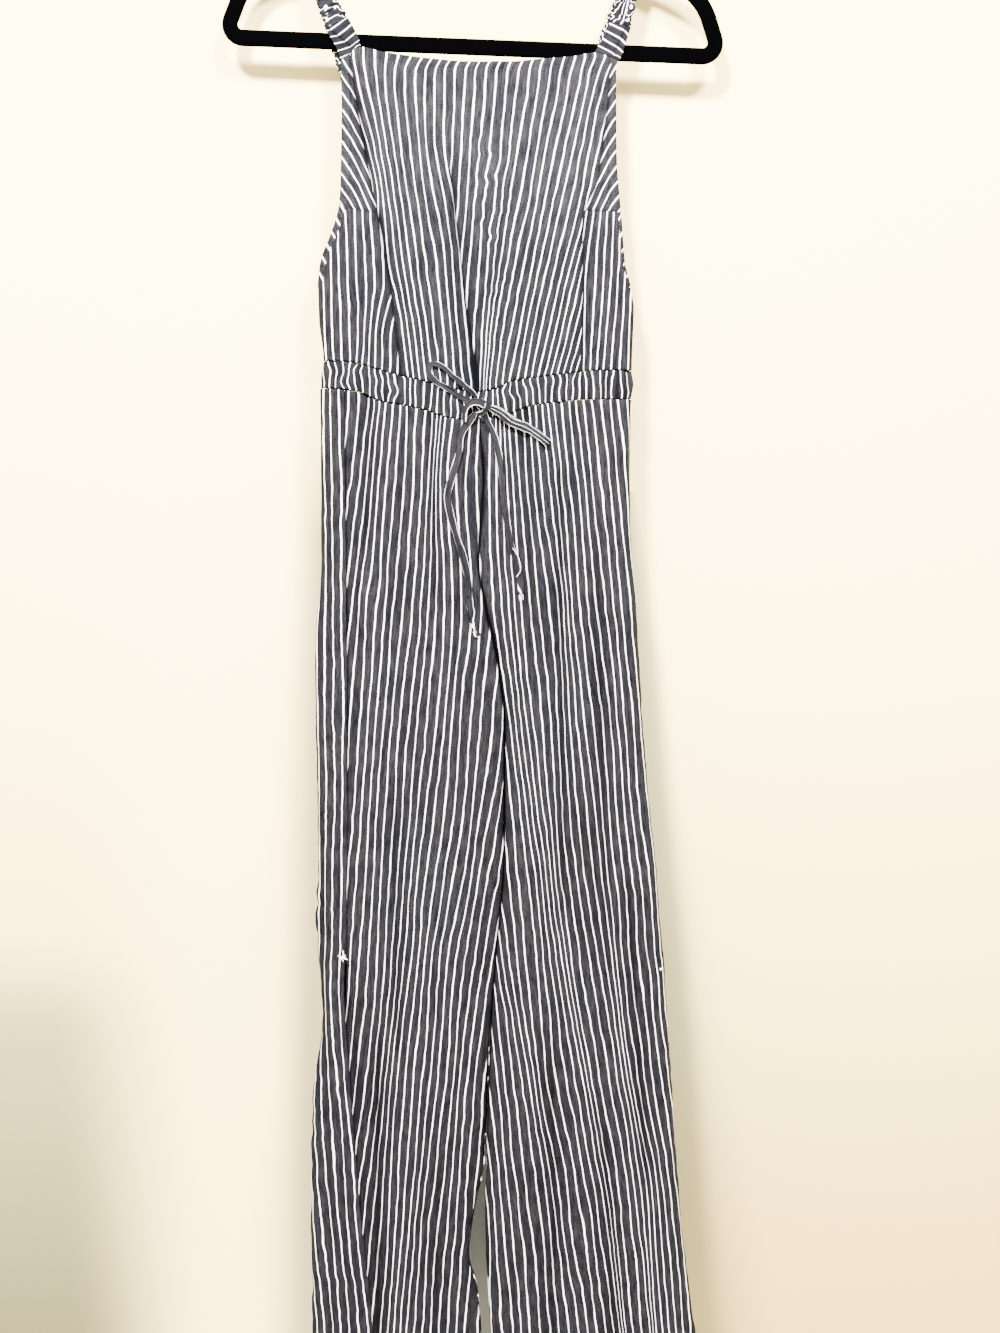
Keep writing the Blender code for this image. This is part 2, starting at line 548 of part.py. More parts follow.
def filleted(corners, radii, segments):
    """A closed outline in the XZ plane with each corner rounded to its radius."""
    points = []
    count = len(corners)
    for i, corner in enumerate(corners):
        corner = np.array(corner, float)
        before = unit(np.array(corners[i - 1], float) - corner)
        after = unit(np.array(corners[(i + 1) % count], float) - corner)
        half = math.acos(np.clip(before @ after, -1, 1)) / 2
        middle = corner + unit(before + after) * radii[i] / math.sin(half)
        start = corner + before * radii[i] / math.tan(half) - middle
        end = corner + after * radii[i] / math.tan(half) - middle
        sweep = math.pi - 2 * half
        for k in range(segments[i] + 1):
            t = k / segments[i]
            mixed = (start * math.sin((1 - t) * sweep) + end * math.sin(t * sweep)) / math.sin(sweep)
            points.append(middle + mixed)
    return np.array(points)


def arm_centre_z(x):
    return ARM_PEAK_Z - abs(x) * math.tan(ARM_SLOPE)


def make_hanger_frame(flock):
    reach = (BAR_Z - ARM_PEAK_Z + HANGER_HALF * math.tan(ARM_SLOPE)) / (
        math.cos(END_SLOPE) * math.tan(ARM_SLOPE) - math.sin(END_SLOPE)
    )
    shoulder_x = HANGER_HALF - reach * math.cos(END_SLOPE)
    shoulder_z = BAR_Z + reach * math.sin(END_SLOPE)
    corners = [
        (-HANGER_HALF, BAR_Z), (-shoulder_x, shoulder_z), (0, ARM_PEAK_Z),
        (shoulder_x, shoulder_z), (HANGER_HALF, BAR_Z),
    ]
    radii = [END_RADIUS, SHOULDER_RADIUS, NECK_RADIUS, SHOULDER_RADIUS, END_RADIUS]
    outline = filleted(corners, radii, ARC_STEPS)
    following = np.roll(outline, -1, axis=0) - np.roll(outline, 1, axis=0)
    rings = []
    for point, ahead in zip(outline, following):
        normal = unit(np.array([-ahead[1], ahead[0]]))
        at_neck = math.exp(-((point[0] / NECK_WIDTH) ** 2)) * (point[1] > BAR_Z + BAND)
        half_thick = (HANGER_THICK + NECK_THICKER * at_neck) / 2
        straight = BAND / 2 - HANGER_THICK / 2
        ring = []
        for outer in (True, False):
            for turn in np.linspace(-math.pi / 2, math.pi / 2, BAND_SIDES // 2) + (0 if outer else math.pi):
                lift = (straight if outer else -straight) + HANGER_THICK / 2 * math.cos(turn)
                spot = point + normal * lift
                x, z = rolled(spot[0] + NECK_OFFSET, spot[1])
                ring.append((x, half_thick * math.sin(turn), z))
        rings.append(ring)
    return tube("hanger_frame", rings, flock, closed=True)


def make_hanger_hook(steel):
    """Wire: up out of the neck, out to the side, over the top and down to the open end."""
    radius = HOOK_INNER + HOOK_WIRE / 2
    middle_z = -HOOK_INNER
    neck_top = ARM_PEAK_Z + BAND / 2 - NECK_RADIUS * (1 / math.cos(ARM_SLOPE) - 1)
    points = [
        (NECK_OFFSET, neck_top + HOOK_GAP), (NECK_OFFSET, -86.0), (4.4, -68.0), (5.2, -58.0), (8.2, -49.5)
    ]
    for degrees in range(-46, 211, 16):
        turn = math.radians(degrees)
        points.append((radius * math.cos(turn), middle_z + radius * math.sin(turn)))
    path = smooth_path([(x, 0, z) for x, z in points], HOOK_RINGS)
    curve = bpy.data.curves.new("hanger_hook", "CURVE")
    curve.dimensions = "3D"
    curve.bevel_depth = HOOK_WIRE / 2 * MM
    curve.bevel_resolution = 2
    curve.use_fill_caps = True
    spline = curve.splines.new("POLY")
    spline.points.add(len(path) - 1)
    for spot, (x, _, z) in zip(spline.points, path):
        turned_x, turned_z = rolled(x, z)
        spot.co = (turned_x * MM, 0, turned_z * MM, 1)
    curve.materials.append(steel)
    obj = bpy.data.objects.new("hanger_hook", curve)
    bpy.context.scene.collection.objects.link(obj)


# ---------------------------------------------------------------- straps


def make_tab(side, rows, cloth):
    """The flat end of a strap, whose first row follows the neckline's corner."""
    made = []
    for row in rows:
        left = np.array([row.left_x, row.y - TAB_THICK / 2, row.left_z])
        right = np.array([row.right_x, row.y - TAB_THICK / 2, row.right_z])
        made.append([[*(left + (right - left) * t), 0, -1] for t in np.linspace(0, 1, TAB_COLUMNS)])
    for point in made[0]:
        point[2] = curve_through(NECKLINE, "x", "z", np.array(point[0])) + TAB_GAP
    panel(f"strap_tab_{side}", made, TAB_THICK, cloth)


def strap_loop(side):
    """The turn over the hanger's arm: its points, and the way that each one's flat side faces."""
    cross = STRAP_CROSSING[side]
    slope = -math.copysign(ARM_SLOPE, cross)
    up_x, up_z = rolled(-math.sin(slope), math.cos(slope))
    arm_x, arm_z = rolled(cross + NECK_OFFSET, arm_centre_z(cross))
    rise = (BAND - HANGER_THICK) / 2
    radius = HANGER_THICK / 2 + SEAM_GAP + STRAP_THICK / 2 + RUCHE_DEPTH
    spots, faces = [], []
    for turn in np.linspace(0, math.pi, 9):
        face = np.array([up_x * math.sin(turn), -math.cos(turn), up_z * math.sin(turn)])
        spots.append(np.array([arm_x + up_x * rise, 0, arm_z + up_z * rise]) + face * radius)
        faces.append(face)
    return np.array(spots), faces


def make_strap(side, front, back, cloth):
    """Ruches are waves of the band's width and thickness, one to every second ring."""
    loop, loop_faces = strap_loop(side)
    start, end = StrapRow(*loop[0], LOOP_WIDTH), StrapRow(*loop[-1], LOOP_WIDTH)
    up = smooth_path([*front, start], 2 * RUCHES_FRONT + 1)[:-1]
    down = smooth_path([end, *back], 2 * RUCHES_BACK + 1)[1:]
    spots = np.concatenate([up[:, :3], loop, down[:, :3]])
    faces = [np.array([0.0, -1.0, 0.0])] * len(up) + loop_faces + [np.array([0.0, 1.0, 0.0])] * len(down)
    widths = np.concatenate([up[:, 3], np.full(len(loop), LOOP_WIDTH), down[:, 3]])
    number = np.arange(len(spots))
    wave = np.where(number % 2 == 0, -1.0, 1.0) * (0.75 + 0.25 * np.sin(number * 1.7))
    wave[len(up) : len(up) + len(loop)] *= 0.3
    rings = band_rings(
        spots, faces, widths + 2 * RUCHE_WIDTH * wave, STRAP_THICK + 2 * RUCHE_DEPTH * wave, 6
    )
    tube(f"strap_ruched_{side}", rings, cloth)


# ---------------------------------------------------------------- bodice, casing and legs


def body_panel(name, top, low, levels, columns, front, folds, cloth, casing=False):
    """A panel round half the body, from its top edge to its low edge."""
    angles = np.linspace(math.pi, 0, AROUND) if front else np.linspace(0, -math.pi, AROUND)
    rows = []
    for level in levels:
        points = body_row(level, top, low, angles, front)
        normal = outward(points, clockwise=False)
        x, z = points[:, 0], points[:, 2]
        steps = np.linalg.norm(np.diff(points[:, :2], axis=0), axis=1)
        along = np.concatenate([[0], np.cumsum(steps)])
        at_sides = ease(along / SIDE_FADE) * ease((along[-1] - along) / SIDE_FADE)
        if casing:
            depth = casing_gathers(x, level)
        else:
            waist = curve_through(low, "x", "z", x)
            depth = fold_depth(folds, x, z) + pleats(x, (z - waist) * BODICE_GATHER_RISE)
        moved = points.copy()
        moved[:, :2] -= normal * (depth * at_sides)[:, None]
        steps = np.linalg.norm(np.diff(moved[:, :2], axis=0), axis=1)
        along = np.concatenate([[0], np.cumsum(steps)])
        gap = SEAM_GAP / 2
        rows.append(resample_on(moved, normal, along, gap, along[-1] - gap, columns))
    panel(name, rows, WALL, cloth)


def lowered(edge, by):
    return [Edge(row.x, row.z - by) for row in edge]


def make_bodice(cloth):
    body_panel("bodice_front", NECKLINE, WAIST_FRONT, FRONT_LEVELS, BODY_COLUMNS, True, BODICE_FOLDS, cloth)
    body_panel("bodice_back", BACK_TOP, WAIST_BACK, BACK_LEVELS, BODY_COLUMNS, False, BACK_FOLDS, cloth)


def make_casing(cloth):
    for name, top, low, front in (
        ("waist_casing_front", WAIST_FRONT, CASING_FRONT, True),
        ("waist_casing_back", WAIST_BACK, CASING_BACK, False),
    ):
        top = lowered(top, WAIST_GAP)
        body_panel(name, top, low, CASING_LEVELS, CASING_COLUMNS, front, [], cloth, casing=True)


def make_legs(cloth):
    for side in ("left", "right"):
        rows = leg_panels(side, LEG_FRONT_COLUMNS, LEG_BACK_COLUMNS)
        panel(f"leg_front_{side}", rows["front"], WALL, cloth)
        panel(f"leg_back_{side}", rows["back"], WALL, cloth)


# ---------------------------------------------------------------- drawstring


def knot_centre():
    x, z = np.array([KNOT.x]), np.array([KNOT.z])
    return np.array([KNOT.x, front_surface_y(x, z)[0] - KNOT.lift, KNOT.z])


def at_knot(centre, route_end):
    """Where a strand meets the knot, on the way from the knot's middle to the strand's first row."""
    way = unit(route_end - centre)
    reach = 1 / np.linalg.norm(way / (np.array(KNOT_SIZE) / 2))
    return centre + way * (reach + KNOT_GAP)


def lie_on_front(route, width):
    """A route's points in space, over the highest cloth under the tie's width."""
    spots = []
    for spot in route:
        x = spot.x + np.linspace(-width / 2, width / 2, 5)
        surface = front_surface_y(x, np.full(5, spot.z)).min()
        spots.append(np.array([spot.x, surface - spot.lift, spot.z]))
    return spots


def make_tie(cloth):
    """A narrow flat tie in a bow at the centre front, with two loops and two free tails."""
    centre = knot_centre()
    bm = bmesh.new()
    bmesh.ops.create_uvsphere(bm, u_segments=14, v_segments=8, radius=0.5)
    for vertex in bm.verts:
        vertex.co = [(centre[k] + vertex.co[k] * KNOT_SIZE[k]) * MM for k in range(3)]
    new_object("tie_knot", bm, cloth)
    routes = {
        "tie_loop_left": (LOOP_LEFT, 28, 4.6),
        "tie_loop_right": (LOOP_RIGHT_OVER + LOOP_RIGHT_UNDER, 32, 7.0),
        "tie_tail_left": (TAIL_LEFT, 30, 6.4),
        "tie_tail_right": (TAIL_RIGHT, 24, 6.0),
    }
    for name, (route, count, width) in routes.items():
        spots = lie_on_front(route, width)
        looped = name.startswith("tie_loop")
        spots.insert(0, at_knot(centre, spots[0]))
        if looped:
            spots.append(at_knot(centre, spots[-1]))
        path = smooth_path(spots, count)
        tip = np.argmax(path[:, 0])
        faces = [np.array([0.0, -1.0, 0.0])] * count
        if name == "tie_loop_right":
            fold = path[tip] - TIP_FOLD
            faces = [unit(point - fold) for point in path]
            faces[: tip - 2] = [np.array([0.0, -1.0, 0.0])] * (tip - 2)
            faces[tip + 3 :] = [np.array([0.0, 1.0, 0.0])] * (count - tip - 3)
        from_knot = np.linalg.norm(path - centre, axis=1)
        widths = width * (KNOT_PINCH + (1 - KNOT_PINCH) * ease((from_knot - KNOT_REACH) / KNOT_SPREAD))
        rings = band_rings(path, faces, widths, np.full(count, TIE_THICK), 8)
        tube(name, rings, cloth)


# ---------------------------------------------------------------- build


def clear_scene():
    for obj in list(bpy.data.objects):
        bpy.data.objects.remove(obj, do_unlink=True)


def main():
    clear_scene()
    cloth = material("striped cotton", (0.36, 0.39, 0.46), 0.9)
    flock = material("black flock", (0.012, 0.012, 0.014), 0.95)
    steel = material("plated wire", (0.62, 0.62, 0.64), 0.3, metallic=1.0)
    make_hanger_frame(flock)
    make_hanger_hook(steel)
    make_tab("left", TAB_LEFT, cloth)
    make_tab("right", TAB_RIGHT, cloth)
    make_strap("left", STRAP_LEFT_FRONT, STRAP_LEFT_BACK, cloth)
    make_strap("right", STRAP_RIGHT_FRONT, STRAP_RIGHT_BACK, cloth)
    make_bodice(cloth)
    make_casing(cloth)
    make_legs(cloth)
    make_tie(cloth)


main()
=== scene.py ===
"""Looks for a striped cotton jumpsuit that hangs flat from its straps on a slim flocked hanger.

World frame: the origin is the inner top of the hook, +Z is up, the jumpsuit's front faces -Y and its
left side, as seen from the front, is -X. Tables are in millimetres and become metres in the meshes.
"""

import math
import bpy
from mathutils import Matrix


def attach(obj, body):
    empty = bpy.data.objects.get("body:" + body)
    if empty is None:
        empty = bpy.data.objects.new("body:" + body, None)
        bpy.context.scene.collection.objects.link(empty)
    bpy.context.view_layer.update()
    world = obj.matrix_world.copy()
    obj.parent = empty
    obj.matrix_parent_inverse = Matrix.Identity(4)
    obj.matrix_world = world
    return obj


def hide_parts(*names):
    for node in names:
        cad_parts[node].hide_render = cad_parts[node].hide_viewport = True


bl_info = {
    "name": "Striped Jumpsuit on a Hanger",
    "version": (1, 0, 0),
    "blender": (4, 5, 0),
    "location": "3D View > Sidebar > Jumpsuit",
    "description": "Sews crinkled striped cotton panels, ruched straps and a bow over the packed jumpsuit",
    "category": "Object",
}

from collections import namedtuple

import bmesh
import bpy
import numpy as np
from mathutils import Matrix, Vector

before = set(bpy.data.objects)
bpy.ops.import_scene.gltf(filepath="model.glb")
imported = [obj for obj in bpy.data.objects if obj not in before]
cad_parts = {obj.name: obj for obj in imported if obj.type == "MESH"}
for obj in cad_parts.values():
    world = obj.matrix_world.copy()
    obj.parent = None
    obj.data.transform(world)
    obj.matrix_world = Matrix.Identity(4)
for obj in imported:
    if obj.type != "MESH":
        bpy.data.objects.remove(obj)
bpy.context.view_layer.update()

MM = 0.001
BODY = "root"

# ---------------------------------------------------------------- sizes, mm

SEAM_GAP = 0.3
WAIST_GAP = 0.8
HEM_Z, CROTCH_Z, SLIT_TOP_Z, LEG_TOP = -1557.0, -832.0, -1067.0, -537.0
SLIT_SPREAD, TUCK, LEVEL_BELOW, ROUNDNESS = 4.0, 4.0, 300.0, 2.6
WAIST_LEFT, WAIST_CENTRE, WAIST_RIGHT = -142.0, 1.6, 141.0
AROUND = 500

CASING_BULGE, CASING_GATHER, GATHER_LENGTH = 1.4, 0.9, 9.5
GATHER_FADE, PLEAT_DEPTH, PLEAT_LENGTH, BODICE_FADE = 75.0, 1.5, 21.0, 1.6
HEM_BAND, LEG_HEM, ARMHOLE_FOOT = 8.0, 20.0, -437.0
DEEP_SEAM_TOP, DEEP_SEAM_LOW, DARK_SEAM_LOW = -560.0, -800.0, -1260.0
DEEPEST_FOLD, FOLDS_FADE, TURNED_EDGE, RUFFLED_SEAM_Z = 4.4, 12.0, 7.0, -1015.0

HANGER_ROLL, NECK_OFFSET = math.radians(2.2), 4.3
BAR_Z, BAND, HANGER_THICK, NECK_THICKER = -229.4, 14.0, 5.0, 3.0
HANGER_HALF, ARM_SLOPE, END_SLOPE = 220.6, math.radians(20), math.radians(69)
ARM_PEAK_Z, END_RADIUS, SHOULDER_RADIUS, NECK_RADIUS = -104.4, 11.3, 50.0, 24.0
HOOK_WIRE, HOOK_INNER = 4.0, 20.0

STRAP_THICK, LOOP_WIDTH, TAB_THICK, TAB_GAP = 3.0, 15.5, 2.0, 0.6
TAB_LENGTH, TAB_WIDTH = 32.0, 22.0
TIE_THICK, KNOT_GAP, FREE_END, STRAND_RUN = 1.6, 0.5, 24.0, 6.0
STITCH_SPACING, STITCH_LENGTH, STITCH_THICK, STITCH_LIFT = 3.2, 2.1, 0.42, 0.12
BAR_TACK_THREAD, LOOSE_THREAD = 0.34, 0.17
FRONTWARDS, BACKWARDS = (0.0, -1.0, 0.0), (0.0, 1.0, 0.0)

# ---------------------------------------------------------------- how finely the pieces are divided

LEG_ROWS, LEG_FRONT_COLUMNS, LEG_BACK_COLUMNS = 300, 112, 96
BODICE_ROWS, BACK_ROWS, BACK_COLUMNS = 141, 41, 180
CASING_ROWS, CASING_COLUMNS, TAB_ROWS, TAB_COLUMNS = 25, 320, 41, 29
STRAP_RINGS, STRAP_SIDES, TIE_SIDES = 420, 36, 28
HANGER_SIDES, CORNER_STEPS, HOOK_RINGS, HOOK_SIDES = 28, 24, 120, 20
THREAD_RINGS, THREAD_SIDES = 24, 8

# ---------------------------------------------------------------- shape tables, mm

Outline = namedtuple("Outline", "z x")
LEFT_EDGE = [
    Outline(-230, -121.0), Outline(-276, -120.2), Outline(-337, -122.0), Outline(-364, -124.2),
    Outline(-391, -132.7), Outline(-408, -140.3), Outline(-424, -144.1), Outline(-437, -145.3),
    Outline(-464, -144.9), Outline(-502, -141.5), Outline(-518, -144.0), Outline(-543, -144.3),
    Outline(-688, -146.0), Outline(-754, -151.7), Outline(-802, -153.5), Outline(-961, -153.4),
    Outline(-1040, -155.7), Outline(-1120, -152.7), Outline(-1202, -161.4), Outline(-1260, -164.5),
    Outline(-1459, -167.9), Outline(-1557, -169.0),
]
RIGHT_EDGE = [
    Outline(-230, 126.0), Outline(-256, 122.8), Outline(-328, 124.1), Outline(-369, 128.2),
    Outline(-416, 132.4), Outline(-439, 138.1), Outline(-457, 141.0), Outline(-509, 140.5),
    Outline(-522, 142.5), Outline(-545, 139.5), Outline(-668, 141.8), Outline(-716, 147.1),
    Outline(-814, 153.1), Outline(-886, 158.8), Outline(-986, 169.8), Outline(-1082, 179.0),
    Outline(-1161, 186.0), Outline(-1234, 190.5), Outline(-1310, 197.5), Outline(-1373, 204.4),
    Outline(-1459, 215.9), Outline(-1557, 226.0),
]
LEFT_LEG_INNER = [
    Outline(-500, 1.6), Outline(-551, 1.6), Outline(-610, 5.2), Outline(-684, 0.4), Outline(-740, 9.7),
    Outline(-764, 15.3), Outline(-842, 23.8), Outline(-961, 23.8), Outline(-1050, 17.0),
    Outline(-1153, 9.3), Outline(-1277, 4.0), Outline(-1325, -5.8), Outline(-1373, -12.0),
    Outline(-1411, -3.0), Outline(-1459, 0.9), Outline(-1557, -2.0),
]
RIGHT_LEG_INNER = LEFT_LEG_INNER[:9] + [
    Outline(-1153, 9.9), Outline(-1215, 7.9), Outline(-1277, 6.4), Outline(-1325, 5.2),
    Outline(-1361, 6.1), Outline(-1397, 8.0), Outline(-1459, 11.0), Outline(-1557, 15.0),
]
Depth = namedtuple("Depth", "z side front back closing")
DEPTHS = [
    Depth(-230, -6.0, 0.6, 8.0, 0.0), Depth(-330, -5.6, 4.5, 9.0, 0.0), Depth(-437, -2.0, 13.0, 11.0, 0.0),
    Depth(-503, 0.0, 17.0, 14.0, 0.0), Depth(-540, 0.0, 19.0, 16.0, 0.0), Depth(-620, 0.0, 23.0, 19.0, 0.2),
    Depth(-760, 0.0, 24.0, 20.0, 0.7), Depth(CROTCH_Z, 0.0, 24.0, 20.0, 1.0),
    Depth(-1200, 0.0, 23.0, 19.0, 1.0), Depth(-1557, 0.0, 21.0, 18.0, 1.0),
]
Edge = namedtuple("Edge", "x z")
NECKLINE = [
    Edge(-121, -243.2), Edge(-103, -231.6), Edge(-83, -235.6), Edge(-47, -240.5), Edge(-10, -243.4),
    Edge(29, -243.6), Edge(57, -241.5), Edge(84, -239.4), Edge(103.6, -236.2), Edge(126, -243.4),
]
DART_LINE = [
    Edge(-124, -365.7), Edge(-107, -370.0), Edge(-90, -372.6), Edge(0, -374.0), Edge(104, -370.9),
    Edge(128, -372.6),
]
BACK_TOP = [Edge(-145, -437), Edge(0, -441), Edge(141, -440)]
WAIST_FRONT = [
    Edge(-142, -502.4), Edge(-121, -503.3), Edge(-100, -507.8), Edge(-79, -514.1), Edge(-52, -520.8),
    Edge(0.7, -531.2), Edge(15, -528.5), Edge(32, -521.3), Edge(79, -515), Edge(110, -511.4), Edge(141, -511),
]
WAIST_BACK = [Edge(-142, -502.4), Edge(0, -508), Edge(141, -511)]
CASING_FRONT = [
    Edge(-142, -526.7), Edge(-121, -528.5), Edge(-107, -531.2), Edge(-90, -538.4), Edge(-50, -546.5),
    Edge(-17, -555.5), Edge(22, -552.8), Edge(47, -543.8), Edge(93, -538.4), Edge(141, -536.6),
]
CASING_BACK = [Edge(-142, -526.7), Edge(0, -535), Edge(141, -536.6)]
LEFT_OUTSEAM = [Outline(-500, -121.3), Outline(-721, -121.2), Outline(-1040, -126.0), Outline(-1094, -128.5)]
LEFT_SLIT_BACK = LEFT_OUTSEAM + [
    Outline(-1171, -124.7), Outline(-1306, -116.7), Outline(-1412, -108.0), Outline(-1557, -99.0)
]
LEFT_SLIT_FRONT = LEFT_OUTSEAM + [Outline(-1130, -133.0), Outline(-1300, -138.0), Outline(-1557, -140.0)]

# Soft troughs, or ridges where the depth is negative, along a line from its top to its low end.
Fold = namedtuple("Fold", "x_top z_top x_low z_low width depth")
BODICE_FOLDS = [
    Fold(-25, -300, -1, -600, 9, 6.0), Fold(12, -330, 20, -560, 11, -2.0),
    Fold(-38, -330, -30, -560, 12, -2.2), Fold(-114, -225, -92, -378, 7, 3.0),
    Fold(-92, -340, -71, -560, 8, 3.5), Fold(124, -225, 106, -350, 8, 3.0),
    Fold(104, -330, 92, -560, 8, 3.5), Fold(-52, -400, -44, -560, 7, 1.6),
    Fold(48, -380, 58, -560, 8, 1.8),
]
FRONT_FOLDS = [
    Fold(-100, -480, -104, -700, 8, 2.5), Fold(-44, -500, -38, -760, 9, 3.0),
    Fold(-70, -520, -86, -900, 12, -2.5), Fold(-80, -860, -78, -1180, 10, 3.5),
    Fold(-50, -900, -62, -1350, 14, -2.5), Fold(-96, -1080, -104, -1620, 11, 4.5),
    Fold(-40, -1180, -46, -1620, 12, 2.5), Fold(42, -500, 50, -800, 10, 2.5),
    Fold(74, -560, 80, -1060, 8, 4.0), Fold(108, -620, 124, -1160, 8, 3.5),
    Fold(93, -600, 104, -1100, 9, -2.5), Fold(138, -940, 166, -1330, 10, 4.0),
    Fold(70, -1060, 74, -1620, 13, 3.0), Fold(118, -1180, 140, -1620, 13, 3.5),
    Fold(40, -900, 44, -1450, 12, -2.5),
]
FRONT_CREASES = [
    Fold(-150, -880, -147, -1620, 4, 2.2), Fold(-134, -1040, -131, -1500, 3, 1.6),
    Fold(-137, -560, -139, -860, 4, 1.4), Fold(86, -500, 90, -800, 3, 1.5),
    Fold(104, -840, 122, -1250, 3, 1.6), Fold(-66, -520, -74, -780, 3, 1.2),
    Fold(-110, -600, -121, -1000, 3, 1.3), Fold(30, -560, 34, -830, 3, 1.2),
    Fold(-20, -600, -14, -900, 4, 1.6), Fold(150, -900, 186, -1400, 3, 1.8),
    Fold(60, -640, 66, -980, 3, 1.4),
]
BACK_FOLDS = [
    Fold(-98, -480, -104, -1000, 11, 3.5), Fold(-48, -500, -60, -1250, 13, 4.0),
    Fold(-120, -980, -126, -1620, 10, 3.5), Fold(-80, -1050, -92, -1620, 12, -3.0),
    Fold(-34, -1100, -40, -1620, 11, 3.5), Fold(46, -500, 66, -1150, 12, 4.0),
    Fold(96, -480, 112, -1100, 12, 3.5), Fold(84, -900, 96, -1620, 12, -3.0),
    Fold(130, -1000, 168, -1620, 12, 4.0), Fold(60, -1180, 60, -1620, 12, 3.5),
]

TabRow = namedtuple("TabRow", "left_x left_z right_x right_z y")
TAB_LEFT = [
    TabRow(-120.9, -242.7, -102.9, -231.1, -5.6), TabRow(-124.0, -233.5, -106.0, -221.5, -5.9),
    TabRow(-129.5, -223.5, -109.9, -214.0, -5.9), TabRow(-134.3, -215.7, -114.3, -206.4, -5.9),
]
TAB_RIGHT = [
    TabRow(103.9, -235.6, 125.9, -242.9, -5.6), TabRow(108.5, -227.5, 129.3, -233.5, -5.9),
    TabRow(113.0, -219.5, 132.3, -224.5, -5.9), TabRow(117.1, -210.6, 135.5, -214.4, -5.9),
]
StrapRow = namedtuple("StrapRow", "x y z width")
STRAP_LEFT_FRONT = [
    StrapRow(-124.5, -4.9, -210.7, 22.0), StrapRow(-129.5, -4.9, -200.0, 19.0),
    StrapRow(-134.6, -4.9, -188.0, 16.5), StrapRow(-141.6, -4.9, -168.0, 15.5),
]
STRAP_LEFT_BACK = [
    StrapRow(-136.0, 5.0, -186.0, 15.0), StrapRow(-122.0, 5.2, -229.0, 15.0),
    StrapRow(-112.0, 5.6, -265.0, 15.0), StrapRow(-91.0, 6.8, -340.0, 15.0),
    StrapRow(-65.0, 8.2, -437.2, 17.0),
]
STRAP_RIGHT_FRONT = [
    StrapRow(126.4, -4.9, -212.0, 18.5), StrapRow(129.4, -4.9, -200.0, 17.5),
    StrapRow(132.0, -4.9, -188.0, 16.5), StrapRow(137.5, -4.9, -170.0, 15.5),
]
STRAP_RIGHT_BACK = [
    StrapRow(129.0, 5.0, -188.0, 15.0), StrapRow(113.0, 5.2, -231.0, 15.0),
    StrapRow(102.0, 5.6, -267.0, 15.0), StrapRow(83.0, 6.8, -340.0, 15.0),
    StrapRow(60.0, 8.2, -438.9, 17.0),
]
STRAP_CROSSING = {"left": -146.3, "right": 142.6}

Spot = namedtuple("Spot", "x z lift")
KNOT = Spot(4.0, -543.0, 3.9)
KNOT_SIZE = (14.0, 7.0, 12.6)
LOOP_LEFT = [
    Spot(-14.0, -537.5, 2.4), Spot(-26.0, -529.5, 2.0), Spot(-38.0, -522.5, 1.8), Spot(-44.2, -514.0, 1.8),
    Spot(-41.5, -507.4, 2.0), Spot(-34.0, -508.6, 2.4), Spot(-23.0, -517.5, 3.0), Spot(-12.0, -526.5, 4.2),
    Spot(-4.0, -533.5, 5.0),
]
LOOP_RIGHT_OVER = [
    Spot(20.0, -550.8, 5.8), Spot(31.0, -559.0, 5.6), Spot(44.0, -563.8, 5.4), Spot(56.0, -571.6, 5.2),
    Spot(64.0, -578.0, 4.9),
]
LOOP_RIGHT_UNDER = [
    Spot(63.4, -577.4, 2.4), Spot(54.0, -569.8, 2.3), Spot(43.0, -562.6, 2.3), Spot(31.0, -558.0, 2.4),
    Spot(20.0, -549.8, 2.6),
]
CURL = [
    Spot(8.3, -545.4, 3.8), Spot(2.8, -542.0, 4.6), Spot(-3.5, -541.6, 4.6), Spot(-8.9, -544.8, 3.6),
    Spot(-11.6, -550.4, 2.0), Spot(-12.6, -558.0, 0.2),
]
WRAP = [Spot(9.6, -540.6, 1.6), Spot(8.4, -546.0, 4.4), Spot(4.6, -551.0, 4.6), Spot(-0.6, -552.6, 3.0)]
WHITE_END = [Spot(3.4, -549.8, 5.4), Spot(6.6, -547.6, 6.0), Spot(10.2, -545.9, 5.6)]
BAR_TACKS = [
    [Spot(-134.4, -1058.6, 1.5), Spot(-131.6, -1059.6, 1.9), Spot(-128.0, -1061.0, 1.9),
     Spot(-124.8, -1062.2, 1.4)],
    [Spot(-133.6, -1060.4, 1.4), Spot(-130.0, -1060.6, 2.0), Spot(-126.2, -1060.0, 1.4)],
    [Spot(-129.2, -1053.2, 1.3), Spot(-129.0, -1057.0, 2.0), Spot(-129.8, -1061.0, 2.1),
     Spot(-129.4, -1064.8, 1.3)],
    [Spot(-131.8, -1063.0, 1.3), Spot(-129.6, -1060.2, 2.2), Spot(-127.0, -1057.4, 1.3)],
    [Spot(173.0, -1073.8, 1.5), Spot(174.8, -1074.6, 1.9), Spot(176.8, -1075.4, 1.4)],
    [Spot(173.4, -1075.6, 1.4), Spot(175.0, -1075.2, 1.9), Spot(176.2, -1073.8, 1.4)],
]
